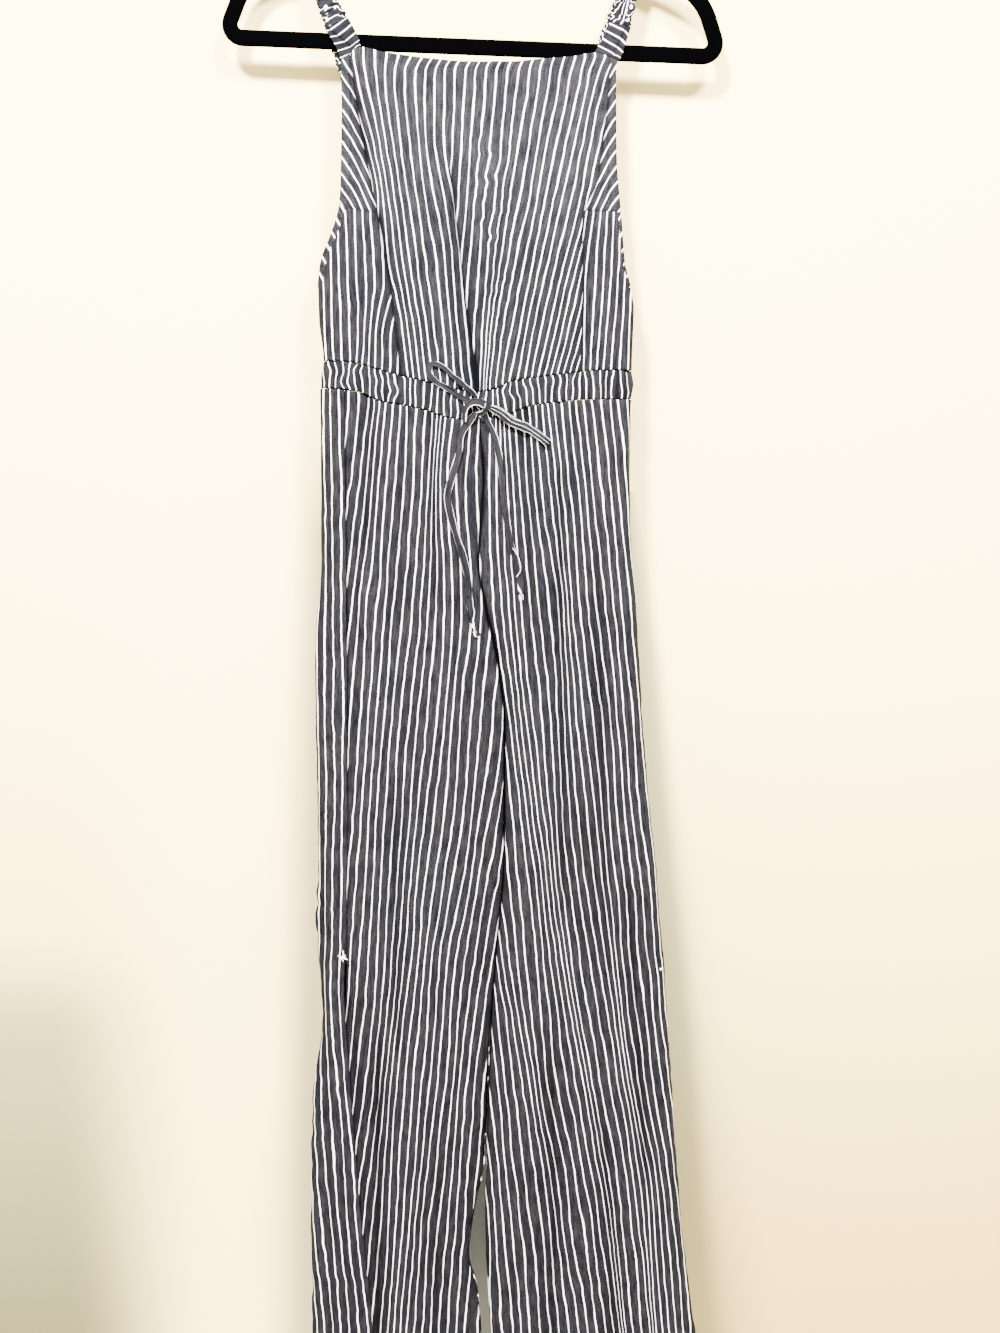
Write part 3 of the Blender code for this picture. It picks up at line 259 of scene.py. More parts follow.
LOOSE_THREADS = [
    [Spot(31.6, -672.0, 2.8), Spot(34.4, -676.0, 3.4), Spot(37.0, -681.0, 3.0), Spot(39.0, -690.0, 2.4),
     Spot(39.4, -698.0, 2.6)],
    [Spot(38.6, -713.0, 2.4), Spot(37.6, -716.6, 2.6), Spot(38.2, -720.4, 2.2)],
    [Spot(40.4, -713.4, 2.4), Spot(41.4, -717.2, 2.8), Spot(40.8, -719.6, 2.2)],
    [Spot(39.6, -714.0, 2.8), Spot(39.8, -718.6, 2.4)],
    [Spot(-1.8, -752.6, 2.6), Spot(0.2, -754.6, 3.0), Spot(1.4, -753.4, 2.4)],
    [Spot(-2.2, -749.0, 3.0), Spot(0.6, -750.4, 3.2), Spot(1.6, -752.0, 2.6)],
]
TAIL_LEFT = [
    Spot(-6.0, -556.0, 2.2), Spot(-14.0, -567.0, 2.0), Spot(-17.6, -588.0, 1.8), Spot(-23.4, -608.0, 1.8),
    Spot(-27.6, -624.0, 2.0), Spot(-25.4, -640.0, 2.2), Spot(-18.6, -664.0, 2.0), Spot(-12.8, -684.0, 1.8),
    Spot(-9.2, -702.0, 1.8), Spot(-8.6, -718.0, 1.8), Spot(-4.6, -738.0, 1.8), Spot(-0.8, -753.2, 1.8),
]
TAIL_RIGHT = [
    Spot(8.6, -558.0, 2.4), Spot(13.0, -567.0, 2.2), Spot(17.4, -580.0, 2.0), Spot(20.2, -598.0, 1.8),
    Spot(23.4, -628.0, 1.8), Spot(26.6, -650.0, 1.8), Spot(30.0, -670.0, 1.8), Spot(35.0, -684.0, 1.8),
    Spot(38.2, -700.0, 1.8), Spot(39.8, -714.0, 1.8),
]

# The bow's strands: how many white stripes lie round each, and the stripe number along its middle, where 0 is
# white and 0.5 grey.
Strand = namedtuple("Strand", "name route rings width stripes middle")
STRANDS = (
    Strand("tie_loop_left", LOOP_LEFT, 150, 4.6, 0.94, 0.5),
    Strand("tie_loop_right", LOOP_RIGHT_OVER + LOOP_RIGHT_UNDER, 180, 8.0, 2.2, 0.1),
    Strand("tie_tail_left", TAIL_LEFT, 240, 6.2, 0.97, 0.5),
    Strand("tie_tail_right", TAIL_RIGHT, 200, 5.8, 0.97, 0.5),
)
KNOT_STRANDS = (
    Strand("tie_curl", CURL, 40, 6.8, 1.0, 0.5),
    Strand("tie_wrap", WRAP, 40, 5.0, 1.0, 0.5),
    Strand("tie_end", WHITE_END, 40, 2.6, 0.2, 0.5),
)
HOOK_STEM = ((NECK_OFFSET, -86.0), (4.4, -68.0), (5.2, -58.0), (8.2, -49.5))
HOOK_TURN = range(-46, 211, 16)

# Where numbered white stripes run: the x of each one at the heights of its table.
LEG_HEIGHTS = (-540, -611, -720, -832, -946, -1063, -1183, -1306, -1431, -1557)
LEFT_LEG_STRIPES = {
    -6: (-127, -133, -145, -158, -170, -180, -190, -200, -210, -220),
    -3: (-100, -109, -122, -136, -149, -158, -168, -180, -190, -200),
    0: (-84, -89.5, -101, -111, -121, -131, -142, -156, -168, -178),
    3: (-63, -67, -77, -88, -97, -106, -119, -132, -145, -156),
    4: (-55, -59, -68, -80, -89, -97, -110, -125, -137, -148),
    6: (-41, -45, -51, -64, -73, -83, -95, -111, -123, -134),
    9: (-28, -34, -31, -39, -53, -65, -79, -88, -97, -106),
    12: (-7, -10, -7, -16, -27, -44, -55, -67, -78, -87),
    14: (8, 8, 9, 3, -10, -29, -41, -55, -64, -72),
    16: (26, 26, 27, 22, 6, -13, -25, -38, -47, -54),
    18: (44, 44, 44, 39, 24, 4, -11, -22, -31, -36),
    21: (71, 71, 70, 65, 50, 30, 16, 4, -3, -8),
}
RIGHT_LEG_STRIPES = {
    -10: (-80, -80, -78, -62, -48, -26, -9, 6, 12.5, 17),
    -6: (-44, -44, -42, -28, -13, 11, 24.5, 38, 50, 58),
    -3: (-17, -17, -14, 2, 15, 28, 47.5, 65, 77, 88),
    -1: (2, 1, 4, 20, 33, 45, 58, 78, 96, 110),
    0: (11, 10, 14, 27.5, 41.5, 55, 66, 87, 104, 120),
    4: (27, 32, 39, 51.5, 64.6, 79, 100, 121, 137, 152),
    6: (41, 44, 56.5, 67, 75, 88, 109, 130, 143.5, 157),
    8: (52, 57.6, 72.5, 79, 88, 105, 126, 146, 159, 172),
    9: (58, 65.4, 77.4, 84, 96, 114, 134.5, 152.5, 167, 181),
    11: (68, 77, 85.5, 98, 112.6, 127, 143.4, 164, 173, 187),
    12: (74.6, 83, 92.5, 107, 119, 131, 147, 169, 179, 193),
    16: (103, 112, 124, 137, 148, 161, 177, 194, 209, 222),
    19: (128, 136, 148, 161, 172, 184, 200, 218, 236, 250),
}
BODICE_HEIGHTS = (-240, -251.5, -263, -311, -362, -414, -467, -522)
BODICE_LEFT_STRIPES = {
    2: (-118, -115.5, -113, -98.5, -88.5, -89, -79.5, -71.5),
    3: (-109, -107, -104.8, -92.8, -83.9, -81, -69, -62),
    4: (-100, -98.5, -96.7, -87.2, -79.3, -74.3, -63.8, -57.5),
    7: (-70, -73, -73.3, -69.0, -61.8, -54.1, -47.3, -40),
    9: (-49, -55.5, -56.0, -52.5, -45.8, -37.6, -32.2, -28),
    11: (-31, -37.5, -37.8, -37.8, -30.2, -23.0, -18.3, -13),
    13: (-13, -19.2, -19.5, -22.2, -15.2, -8.0, -4.0, 1),
}
BODICE_RIGHT_STRIPES = {
    12: (-22, -28.4, -28.6, -30.0, -34.0, -37.0, -40.0, -42),
    14: (-4, -10, -10.3, -14.4, -18.5, -21.5, -25.0, -29),
    16: (14, 8.6, 8.0, 2.9, -2.3, -7.1, -11.0, -14),
    18: (32, 27.5, 26.5, 21.3, 14.5, 9.5, 4.8, 2),
    21: (58.5, 54.8, 53.6, 45.6, 37.5, 27.4, 17.2, 10.5),
    24: (86, 82.6, 80.8, 70.7, 60.9, 49.9, 39.4, 29),
    26: (104, 99.5, 97.5, 86.6, 75.3, 63.9, 51.9, 42),
    28: (121, 115.5, 111.7, 101.5, 90.8, 78.8, 66.8, 54),
    31: (148, 142.5, 139, 125, 112, 96, 84.5, 70),
}
SIDE_HEIGHTS = (-370, -430, -483, -522)
LEFT_SIDE_STRIPES = {
    0: (-137, -140, -139.5, -139),
    3: (-119.5, -118.3, -117, -117),
    4: (-111, -109.6, -109, -111),
    6: (-95.5, -92.9, -98, -99),
    8: (-78.5, -77, -86.5, -87),
    10: (-61.5, -61, -71.5, -73),
}
RIGHT_SIDE_STRIPES = {0: (104, 97.5, 96.5, 95.5), 3: (122, 120, 116, 113), 6: (141, 137.5, 136.5, 136)}
LEFT_LONG_FOLD = [
    Outline(-230, -113), Outline(-256, -110.7), Outline(-320, -100.1), Outline(-373, -90.0),
    Outline(-406, -83.2), Outline(-511, -70.8),
]
RIGHT_LONG_FOLD = [
    Outline(-230, 119), Outline(-256, 117.5), Outline(-303, 113.0), Outline(-348, 106.5),
    Outline(-377, 94), Outline(-441, 94.8), Outline(-511, 92.6),
]
CENTRE_FOLD = [
    Outline(-230, -33), Outline(-311, -27.0), Outline(-330, -25.0), Outline(-383, -19.1),
    Outline(-434, -13.0), Outline(-527, -1.6),
]
# The bodice's columns at its side edges, at its hems' inner edges and at its three long folds.
BODICE_COLUMNS = (0, 6, 34, 84, 158, 184, 190)
RIGHT_HEM_COLUMNS = 3
SIDE_LEAN, SIDE_PITCH, CASING_PITCH = math.tan(math.radians(27)), 7.5, 6.15
HEM_SHIFT_X, HEM_SHIFT_Z = 0.68, 0.97

Slant = namedtuple("Slant", "lean shift pitch")
ARMHOLE_SLANTS = (Slant(2, 671.8, 20.0), Slant(-2, 649.0, 16.5))

# The tabs' stripes, each tab's slanted fold, the corner where its stripes give way, and its shade.
TabLook = namedtuple(
    "TabLook", "rows lean pitch shift fold fold_slope fold_side fold_lean corner corner_reach shade narrowing"
)
TAB_LOOKS = {
    "left": TabLook(TAB_LEFT, -0.16, 8.2, 0.55, 15, -0.42, -1, -0.5, 12, 6, 0.28, 0.25),
    "right": TabLook(TAB_RIGHT, 0.2, 8.0, 0.1, 14, 0.1, 1, 0.35, 15, 5, 0.0, 0.1),
}

# ---------------------------------------------------------------- curves and fields


def curve_through(table, key, value, at):
    """`value` at each `at`, on a smooth curve through the table's rows that never overshoots them."""
    rows = sorted(table, key=lambda row: getattr(row, key))
    keys = np.array([getattr(row, key) for row in rows], float)
    values = np.array([getattr(row, value) for row in rows], float)
    step = np.diff(keys)
    slope = np.diff(values) / step
    tangent = slopes_between(slope)
    i = np.clip(np.searchsorted(keys, at) - 1, 0, len(step) - 1)
    t = np.clip((at - keys[i]) / step[i], 0, 1)
    return values[i] + hermite(t, step[i], values[i + 1] - values[i], tangent[i], tangent[i + 1])


def x_on(line, z):
    """Where a line that runs down the garment lies at each height."""
    return curve_through(line, "z", "x", z)


def z_on(edge, x):
    """How high an edge that runs across the garment lies at each x."""
    return curve_through(edge, "x", "z", x)


def slopes_between(slope):
    """The slope at each row of a table, between those of its neighbouring stretches."""
    both = slope[:-1] * slope[1:]
    total = np.where(both > 0, slope[:-1] + slope[1:], 1.0)
    return np.concatenate([slope[:1], np.where(both > 0, 2 * both / total, 0.0), slope[-1:]])


def hermite(t, step, rise, slope_before, slope_after):
    swing = step * t * (1 - t) * (slope_before * (1 - t) - slope_after * t)
    return rise * t * t * (3 - 2 * t) + swing


def ease(t):
    """0 to 1, flat at both ends."""
    t = np.clip(t, 0, 1)
    return t * t * (3 - 2 * t)


def bell(value, width):
    """1 at 0, and fading to nothing over about twice the width to either side."""
    return np.exp(-((value / width) ** 2))


def ripple(across, along, width, length, seed):
    """Smooth noise from -1 to 1, whose bumps are about `width` by `length`."""
    lattice = np.random.default_rng(seed).uniform(-1, 1, (97, 97))
    a, b = across / width, along / length
    i, j = np.floor(a).astype(int), np.floor(b).astype(int)
    s, t = ease(a - i), ease(b - j)
    corner = [[lattice[(i + di) % 97, (j + dj) % 97] for dj in (0, 1)] for di in (0, 1)]
    near = corner[0][0] * (1 - s) + corner[1][0] * s
    far = corner[0][1] * (1 - s) + corner[1][1] * s
    return near * (1 - t) + far * t


def across_fold(fold, x, z, ends):
    """How far each point lies from a fold's line, and the fold's strength, which eases off at both ends."""
    along = (fold.z_top - z) / (fold.z_top - fold.z_low)
    centre = fold.x_top + (fold.x_low - fold.x_top) * along
    return x - centre, ease(along / ends) * ease((1 - along) / ends)


def fold_depth(folds, x, z):
    """How far the folds push the surface in at (x, z)."""
    depth = np.zeros_like(x)
    for fold in folds:
        offset, strength = across_fold(fold, x, z, 0.3)
        depth += fold.depth * strength * bell(offset, fold.width)
    return depth


def fold_lines(folds, x, z):
    """How dark the folds' troughs are: up to 1 in the deepest, and less in the soft shade round it."""
    lines = np.zeros_like(x)
    for fold in folds:
        offset, strength = across_fold(fold, x, z, 0.2)
        shade = np.maximum(bell(offset, 0.3 * fold.width), 0.5 * bell(offset, 1.1 * fold.width))
        lines = np.maximum(lines, max(fold.depth, 0) / DEEPEST_FOLD * strength * shade)
    return np.clip(lines, 0, 1)


def crease_lines(across, run, seed):
    """1 on sharp wandering creases, which are the zero lines of long soft noise, here and there."""
    field = ripple(across, run, 13, 110, seed) + 0.4 * ripple(across, run, 6, 40, seed + 1)
    here = ease(0.6 + 1.2 * ripple(across, run, 45, 170, seed + 2))
    return here * np.exp(-np.abs(field) / 0.15)


def seam_shade(from_seam, z):
    """The dark line along the legs' inner edges, widest in the deep fold below the waist."""
    width = 0.8 + 0.7 * ease((DEEP_SEAM_TOP - z) / 50) * ease((z - DEEP_SEAM_LOW) / 50)
    return ease((z - DARK_SEAM_LOW) / 40) * ease((width + 0.9 - from_seam) / 0.9)


def stripe_wander(across, run, seed):
    """How far crinkles shift the stripes sideways, in stripes."""
    slow = 0.17 * ripple(across, run, 15, 90, seed) + 0.10 * ripple(across, run, 9, 36, seed + 1)
    return slow + 0.06 * ripple(across, run, 13, 13, seed + 2)


def pleats(x, below_seam):
    """Soft gathers that run out of a gathered seam and fade."""
    phase = x / PLEAT_LENGTH + 0.22 * np.sin(x / 17.0) + 0.15 * np.sin(x / 7.3 + 1)
    return PLEAT_DEPTH * np.exp(-np.abs(below_seam) / GATHER_FADE) * np.sin(2 * math.pi * phase)


def casing_gathers(x, level):
    """Close gathers over a cord that rounds the casing out between its seams."""
    phase = x / GATHER_LENGTH + 0.3 * np.sin(x / 13) + 0.2 * np.sin(x / 5.1)
    return CASING_GATHER * np.sin(2 * math.pi * phase) - CASING_BULGE * np.sin(math.pi * level)


def body_profile(x, z):
    """0 at the garment's side edges and 1 at its middle, as a rounded flat tube."""
    left = x_on(LEFT_EDGE, z)
    right = x_on(RIGHT_EDGE, z)
    offset = np.abs((2 * x - left - right) / (right - left))
    return np.clip(1 - offset**ROUNDNESS, 0, None) ** (1 / ROUNDNESS)


def front_surface_y(x, z):
    """Where the outer face of the casing and of the legs' fronts lies."""
    left_inner, right_inner = x_on(LEFT_LEG_INNER, z), x_on(RIGHT_LEG_INNER, z)
    left_half = x < left_inner
    inner = np.where(left_half, left_inner, right_inner)
    outer = np.where(left_half, x_on(LEFT_EDGE, z), x_on(RIGHT_EDGE, z))
    across = np.clip((x - inner) / (outer - inner), 0, 1)
    leg_profile = (1 - np.abs(2 * across - 1) ** ROUNDNESS) ** (1 / ROUNDNESS)
    closing = curve_through(DEPTHS, "z", "closing", z)
    out = (1 - closing) * body_profile(x, z) + closing * leg_profile
    top, low = z_on(WAIST_FRONT, x), z_on(CASING_FRONT, x)
    on_leg = fold_depth(FRONT_FOLDS, x, z) + pleats(x, low - z)
    on_bodice = fold_depth(BODICE_FOLDS, x, z) + pleats(x, (z - top) * BODICE_FADE)
    depth = np.where(z <= low, on_leg, on_bodice)
    depth = np.where((z > low) & (z < top), casing_gathers(x, (top - z) / (top - low)), depth)
    return curve_through(DEPTHS, "z", "side", z) - curve_through(DEPTHS, "z", "front", z) * out + depth


def outward(points, clockwise):
    """Level unit normals of each row of points, out of the garment."""
    tangent = np.gradient(points[..., :2], axis=-2)
    tangent /= np.maximum(np.linalg.norm(tangent, axis=-1), 1e-9)[..., None]
    normal = np.stack([-tangent[..., 1], tangent[..., 0]], axis=-1)
    return normal if clockwise else -normal


def along_rows(points):
    """The distance along each row of points, from its first."""
    steps = np.linalg.norm(np.diff(points[..., :2], axis=-2), axis=-1)
    return np.concatenate([np.zeros((*steps.shape[:-1], 1)), np.cumsum(steps, axis=-1)], axis=-1)


def distances(points):
    """The distance along a run of points, from its first."""
    return np.concatenate([[0], np.cumsum(np.linalg.norm(np.diff(points, axis=0), axis=1))])


def resampled(rows, along, at):
    """The rows' values, column by column, at other distances along them."""
    return np.column_stack([np.interp(at, along, column) for column in rows.T])


def closed_round(rows):
    """Each row with its first value again at its end, for a skin that meets itself."""
    return np.concatenate([rows, rows[:, :1]], axis=1)


def unit(vector):
    return vector / np.linalg.norm(vector)


# ---------------------------------------------------------------- panels of cloth, row by row

Cloth = namedtuple("Cloth", "points normals")


def spaced(points, normals, along, marks, counts):
    """The rows again, with the columns of `counts` at each row's marks and the others evenly between them."""
    data = np.concatenate([points, normals], axis=-1)
    columns = np.arange(counts[-1] + 1)
    rows = []
    for row, distance, *mark in zip(data, along, *marks):
        rows.append(resampled(row, distance, np.interp(columns, counts, mark)))
    rows = np.array(rows)
    return Cloth(rows[..., :3], rows[..., 3:])


def body_cloth(edges, rows, counts, front, depth_at, lines=()):
    """A panel round the front or back of the body, whose rows pass through the edges' heights.

    With lines, the columns of `counts` lie on the side hems' inner edges and on the lines.
    """
    angles = np.linspace(math.pi, 0, AROUND) if front else np.linspace(0, -math.pi, AROUND)
    reach = np.cos(angles)
    across = (1 + np.sign(reach) * np.abs(reach) ** (2 / ROUNDNESS)) / 2
    level = np.repeat(np.linspace(0, 1, rows)[:, None], AROUND, axis=1)
    x = WAIST_LEFT + (WAIST_RIGHT - WAIST_LEFT) * across + 0 * level
    for _ in range(5):
        z = heights_between(edges, x, level)
        left, right = (x_on(table, z) for table in (LEFT_EDGE, RIGHT_EDGE))
        x = left + (right - left) * across
    out = np.abs(np.sin(angles)) ** (2 / ROUNDNESS)
    stands = -curve_through(DEPTHS, "z", "front", z) if front else curve_through(DEPTHS, "z", "back", z)
    points = np.stack([x, curve_through(DEPTHS, "z", "side", z) + stands * out, z], axis=-1)
    normals = outward(points, clockwise=False)
    along = along_rows(points)
    at_sides = ease(along / FOLDS_FADE) * ease((along[:, -1:] - along) / FOLDS_FADE)
    points[..., :2] -= normals * (depth_at(x, z, level) * at_sides)[..., None]
    along = along_rows(points)
    marks = [np.full(rows, SEAM_GAP / 2), along[:, -1] - SEAM_GAP / 2]
    if lines:
        crossed = [crossing(points, along, line) for line in lines]
        left_hem = np.minimum(HEM_BAND, 0.6 * crossed[0])
        right_hem = along[:, -1] - np.minimum(HEM_BAND, 0.6 * (along[:, -1] - crossed[-1]))
        marks[1:1] = [left_hem, *crossed, right_hem]
    return spaced(points, normals, along, marks, counts)


def crossing(points, along, line):
    """The distance along each row at which it crosses a line."""
    past = points[..., 0] - x_on(line, points[..., 2])
    return np.array([np.interp(0, row, distance) for row, distance in zip(past, along)])


def heights_between(edges, x, level):
    """The height at each level, 0 on the first edge and 1 on the last."""
    reached = level * (len(edges) - 1)
    lines = np.array([z_on(edge, x) for edge in edges])
    i = np.clip(np.floor(reached).astype(int), 0, len(edges) - 2)
    t = reached - i
    above, below = (np.take_along_axis(lines, i[None] + k, 0)[0] for k in (0, 1))
    return above * (1 - t) + below * t


def leg_cloth(side, rows, columns_front, columns_back):
    """A leg's front and back panel."""
    left_leg = side == "left"
    angles = np.linspace(0, 2 * math.pi, 2 * AROUND)
    reach = np.cos(angles)
    across = (1 - np.sign(reach) * np.abs(reach) ** (2 / ROUNDNESS)) / 2
    front = np.repeat((angles <= math.pi)[None], rows, axis=0)
    height = np.linspace(LEG_TOP, HEM_Z, rows)[:, None]
    waist_x = WAIST_CENTRE + ((WAIST_LEFT if left_leg else WAIST_RIGHT) - WAIST_CENTRE) * across + 0 * height
    waist_z = np.where(front, z_on(CASING_FRONT, waist_x), z_on(CASING_BACK, waist_x))
    z = height + (waist_z - WAIST_GAP - LEG_TOP) * np.clip(1 - (LEG_TOP - height) / LEVEL_BELOW, 0, 1)
    gap = -SEAM_GAP / 2 if left_leg else SEAM_GAP / 2
    inner = x_on(LEFT_LEG_INNER if left_leg else RIGHT_LEG_INNER, z) + gap
    outer = x_on(LEFT_EDGE if left_leg else RIGHT_EDGE, z) + edge_ruffle(z, left_leg)
    x = inner + (outer - inner) * across
    closing = curve_through(DEPTHS, "z", "closing", z)
    leg_profile = np.abs(np.sin(angles)) ** (2 / ROUNDNESS)
    out = (1 - closing) * body_profile(x, z) + closing * leg_profile
    stands = np.where(front, -curve_through(DEPTHS, "z", "front", z), curve_through(DEPTHS, "z", "back", z))
    points = np.stack([x, curve_through(DEPTHS, "z", "side", z) + stands * out, z], axis=-1)
    normals = outward(points, clockwise=left_leg)
    depth = np.where(front, fold_depth(FRONT_FOLDS, x, z), fold_depth(BACK_FOLDS, x, z))
    depth = (depth + pleats(x, waist_z - z)) * ease(across / 0.08)
    points[..., :2] -= normals * depth[..., None]
    along = along_rows(points)
    front_end, back_start = leg_cuts(left_leg, points, along, front)
    tucked = points.copy()
    if left_leg:
        edge = x_on(LEFT_SLIT_BACK, z)
        under = ease((edge + 14 - x) / 12) * (height < SLIT_TOP_Z)
        tucked[..., :2] -= normals * (TUCK * under)[..., None]
    start = np.full(rows, SEAM_GAP / 2)
    return (
        spaced(tucked, normals, along, [start, front_end], [0, columns_front - 1]),
        spaced(points, normals, along, [back_start, along[:, -1] - start], [0, columns_back - 1]),
    )


def edge_ruffle(z, left_leg):
    """The small waves of a leg's outer edge, the largest at the left hip's seam and in its slit."""
    waves = ripple(z, 0 * z, 11, 1, 170 + left_leg) + 0.5 * ripple(z, 0 * z, 27, 1, 172 + left_leg)
    if not left_leg:
        return 0.6 * waves * ease((-620 - z) / 60)
    strong = bell(z - RUFFLED_SEAM_Z, 28) + ease((-1140 - z) / 40)
    return (0.5 + 0.8 * np.clip(strong, 0, 1)) * waves * ease((-620 - z) / 60)


def leg_cuts(left_leg, points, along, front):
    """Distances along each row where the front panel ends and where the back panel begins."""
    z = points[..., 2]
    row = np.arange(len(z))
    if not left_leg:
        below = (SLIT_TOP_Z - z.mean(axis=1)) / (SLIT_TOP_Z - HEM_Z)
        outer = along[row, np.argmax(points[..., 0], axis=1)]
        spread = SEAM_GAP / 2 + SLIT_SPREAD * ease(below)
        return outer - spread, outer + spread
    cuts = []
    for table in (LEFT_SLIT_FRONT, LEFT_SLIT_BACK):
        past = front & (points[..., 0] < x_on(table, z))
        cuts.append(along[row, np.argmax(past, axis=1)])
    return cuts[0] - SEAM_GAP / 2, cuts[1] + SEAM_GAP / 2


# ---------------------------------------------------------------- stripes


def stripe_numbers(heights, guides, x, z):
    """The stripe number at each (x, z), whole on the white stripes, from the guides' lines."""
    numbers = sorted(guides)
    marks = {n: [Outline(*pair) for pair in zip(heights, guides[n])] for n in numbers}
    lines = np.array([x_on(marks[n], z) for n in numbers])
    values = np.array(numbers, float).reshape(-1, *[1] * x.ndim) + 0 * lines
    step = np.diff(lines, axis=0)
    slope = np.diff(values, axis=0) / step
    tangent = slopes_between(slope)
    i = np.clip((x > lines).sum(axis=0) - 1, 0, len(step) - 1)[None]

    def here(table, shift=0):
        return np.take_along_axis(table, i + shift, axis=0)[0]

    t = (x - here(lines)) / here(step)
    inside = np.clip(t, 0, 1)
    rise = here(values, 1) - here(values)
    number = here(values) + hermite(inside, here(step), rise, here(tangent), here(tangent, 1))
    return number + (t - inside) * here(step) * here(slope)


def round_the_edge(points, numbers, inside, pitch):
    """Where a panel turns away at its side, the stripes keep their real pitch along the cloth."""
    direction = np.sign(numbers[:, -1:] - numbers[:, :1])
    step = np.diff(numbers, axis=1)
    flat = direction * np.diff(along_rows(points), axis=1) / pitch
    step = np.where(inside[:, 1:] & inside[:, :-1], step, flat)
    total = np.concatenate([np.zeros((len(points), 1)), np.cumsum(step, axis=1)], axis=1)
    middle = numbers.shape[1] // 2
    return total + (numbers - total)[:, middle : middle + 1]


# ---------------------------------------------------------------- meshes


def finish_object(name, bm, material):
    mesh = bpy.data.meshes.new(name)
    bm.to_mesh(mesh)
    bm.free()
    for polygon in mesh.polygons:
        polygon.use_smooth = True
    mesh.materials.append(material)
    obj = bpy.data.objects.new(name, mesh)
    bpy.context.scene.collection.objects.link(obj)
    return obj


def grid(columns, rows):
    """A flat grid of quads, with each vertex's row and column."""
    bm = bmesh.new()
    bmesh.ops.create_grid(bm, x_segments=columns - 1, y_segments=rows - 1, size=1)
    places = [
        (round((v.co.y + 1) / 2 * (rows - 1)), round((v.co.x + 1) / 2 * (columns - 1))) for v in bm.verts
    ]
    return bm, places


def write_stripes(bm, places, numbers, run, zones=None, shade=None, narrowing=0.0):
    """The stripe number and the run along the stripes, in metres, as the cloth's UV map.

    With zones, `numbers` holds one table for each and a face takes the zone of its first corner.
    `shade` is the shade painted on at each point, in creases, folds and seams, and `narrowing` what the white
    stripes lose of their width, both from 0 to 1.
    """
    layer = bm.loops.layers.uv.new("stripes")
    # The shade painted on each point, in creases, folds and seams, from 0 to 1.
    depth = bm.verts.layers.float.new("crease")
    narrow = bm.verts.layers.float.new("narrowing")
    bm.verts.index_update()
    for vertex, place in zip(bm.verts, places):
        vertex[depth] = 0.0 if shade is None else float(shade[place])
        vertex[narrow] = narrowing
    for face in bm.faces:
        table = numbers
        if zones is not None:
            spots = [places[vertex.index] for vertex in face.verts]
            low = (min(spot[0] for spot in spots), min(spot[1] for spot in spots))
            table = numbers[zones[low]]
        for loop in face.loops:
            place = places[loop.vert.index]
            loop[layer].uv = (table[place], run[place] * MM)


def sew_panel(node, cloth, numbers, run, material, thickness, zones=None, shade=None, narrowing=0.0):
    """A thin shell on the panel's rows, with its stripes, in place of a node."""
    rows, columns = cloth.points.shape[:2]
    bm, places = grid(columns, rows)
    write_stripes(bm, places, numbers, run, zones, shade, narrowing)
    for vertex, place in zip(bm.verts, places):
        vertex.co = cloth.points[place] * MM
    normal = cloth.normals[rows // 2, columns // 2]
    bm.normal_update()
    bm.faces.ensure_lookup_table()
    face_normal = bm.faces[len(bm.faces) // 2 + columns // 2].normal
    if face_normal.x * normal[0] + face_normal.y * normal[1] < 0:
        bmesh.ops.reverse_faces(bm, faces=bm.faces[:])
    obj = finish_object(f"{node}_cloth", bm, material)
    shell = obj.modifiers.new("cloth thickness", "SOLIDIFY")
    shell.thickness = thickness * MM
    shell.offset = -1
    shell.use_even_offset = False
    return obj


def pressed(cloth, depth):
    """The panel's points, moved in along its normals."""
    points = cloth.points.copy()
    points[..., :2] -= cloth.normals * depth[..., None]
    return Cloth(points, cloth.normals)


def crinkles(settings, across, run, seed):
    """Fine lengthwise crinkles, the broader unevenness of washed cotton, and sharp creases."""
    fine = 0.6 * ripple(across, run, 3.4, 26, seed) + 0.4 * ripple(across, run, 7, 60, seed + 1)
    broad = ripple(across, run, 23, 140, seed + 2)
    sharp = crease_lines(across, run, seed + 3)
    depth = settings.crinkle * fine + settings.unevenness * broad + settings.crease_depth * sharp
    return depth / MM, sharp


def tube(name, rings, material, closed=False, numbers=None, run=None, shade=None, narrowing=0.0):
    """A skin over rings of points. An open run of rings gets an end face at each end."""
    rings = np.array(rings)
    around = rings.shape[1]
    rings = closed_round(rings)
    if closed:
        rings = np.concatenate([rings, rings[:1]])
    bm, places = grid(around + 1, rings.shape[0])
    if numbers is not None:
        write_stripes(bm, places, numbers, run, shade=shade, narrowing=narrowing)
    for vertex, place in zip(bm.verts, places):
        vertex.co = rings[place] * MM
    bmesh.ops.remove_doubles(bm, verts=bm.verts[:], dist=1e-6)
    if not closed:
        bmesh.ops.holes_fill(bm, edges=[edge for edge in bm.edges if edge.is_boundary], sides=0)
    bmesh.ops.recalc_face_normals(bm, faces=bm.faces[:])
    return finish_object(name, bm, material)


def smooth_path(points, count):
    """`count` evenly spaced points and their other values, on a curve through the rows of a table."""
    points = np.array(points, float)
    along = distances(points[:, :3])
    steps = np.diff(along)
    tangent = np.gradient(points, along, axis=0)
    dense = []
    for i, step in enumerate(steps):
        for t in np.linspace(0, 1, 24, endpoint=i == len(steps) - 1):
            rise = points[i + 1] - points[i]
            dense.append(points[i] + hermite(t, step, rise, tangent[i], tangent[i + 1]))
    dense = np.array(dense)
    along = distances(dense[:, :3])
    return resampled(dense, along, np.linspace(0, along[-1], count))


def band_frame(path, faces):
    """For each point of a band's path, the directions across it and out of its flat side."""
    tangent = np.gradient(path, axis=0)
    across = np.cross(faces, tangent)
    across /= np.linalg.norm(across, axis=1)[:, None]
    out = np.cross(tangent, across)
    out /= np.linalg.norm(out, axis=1)[:, None]
    return across, out


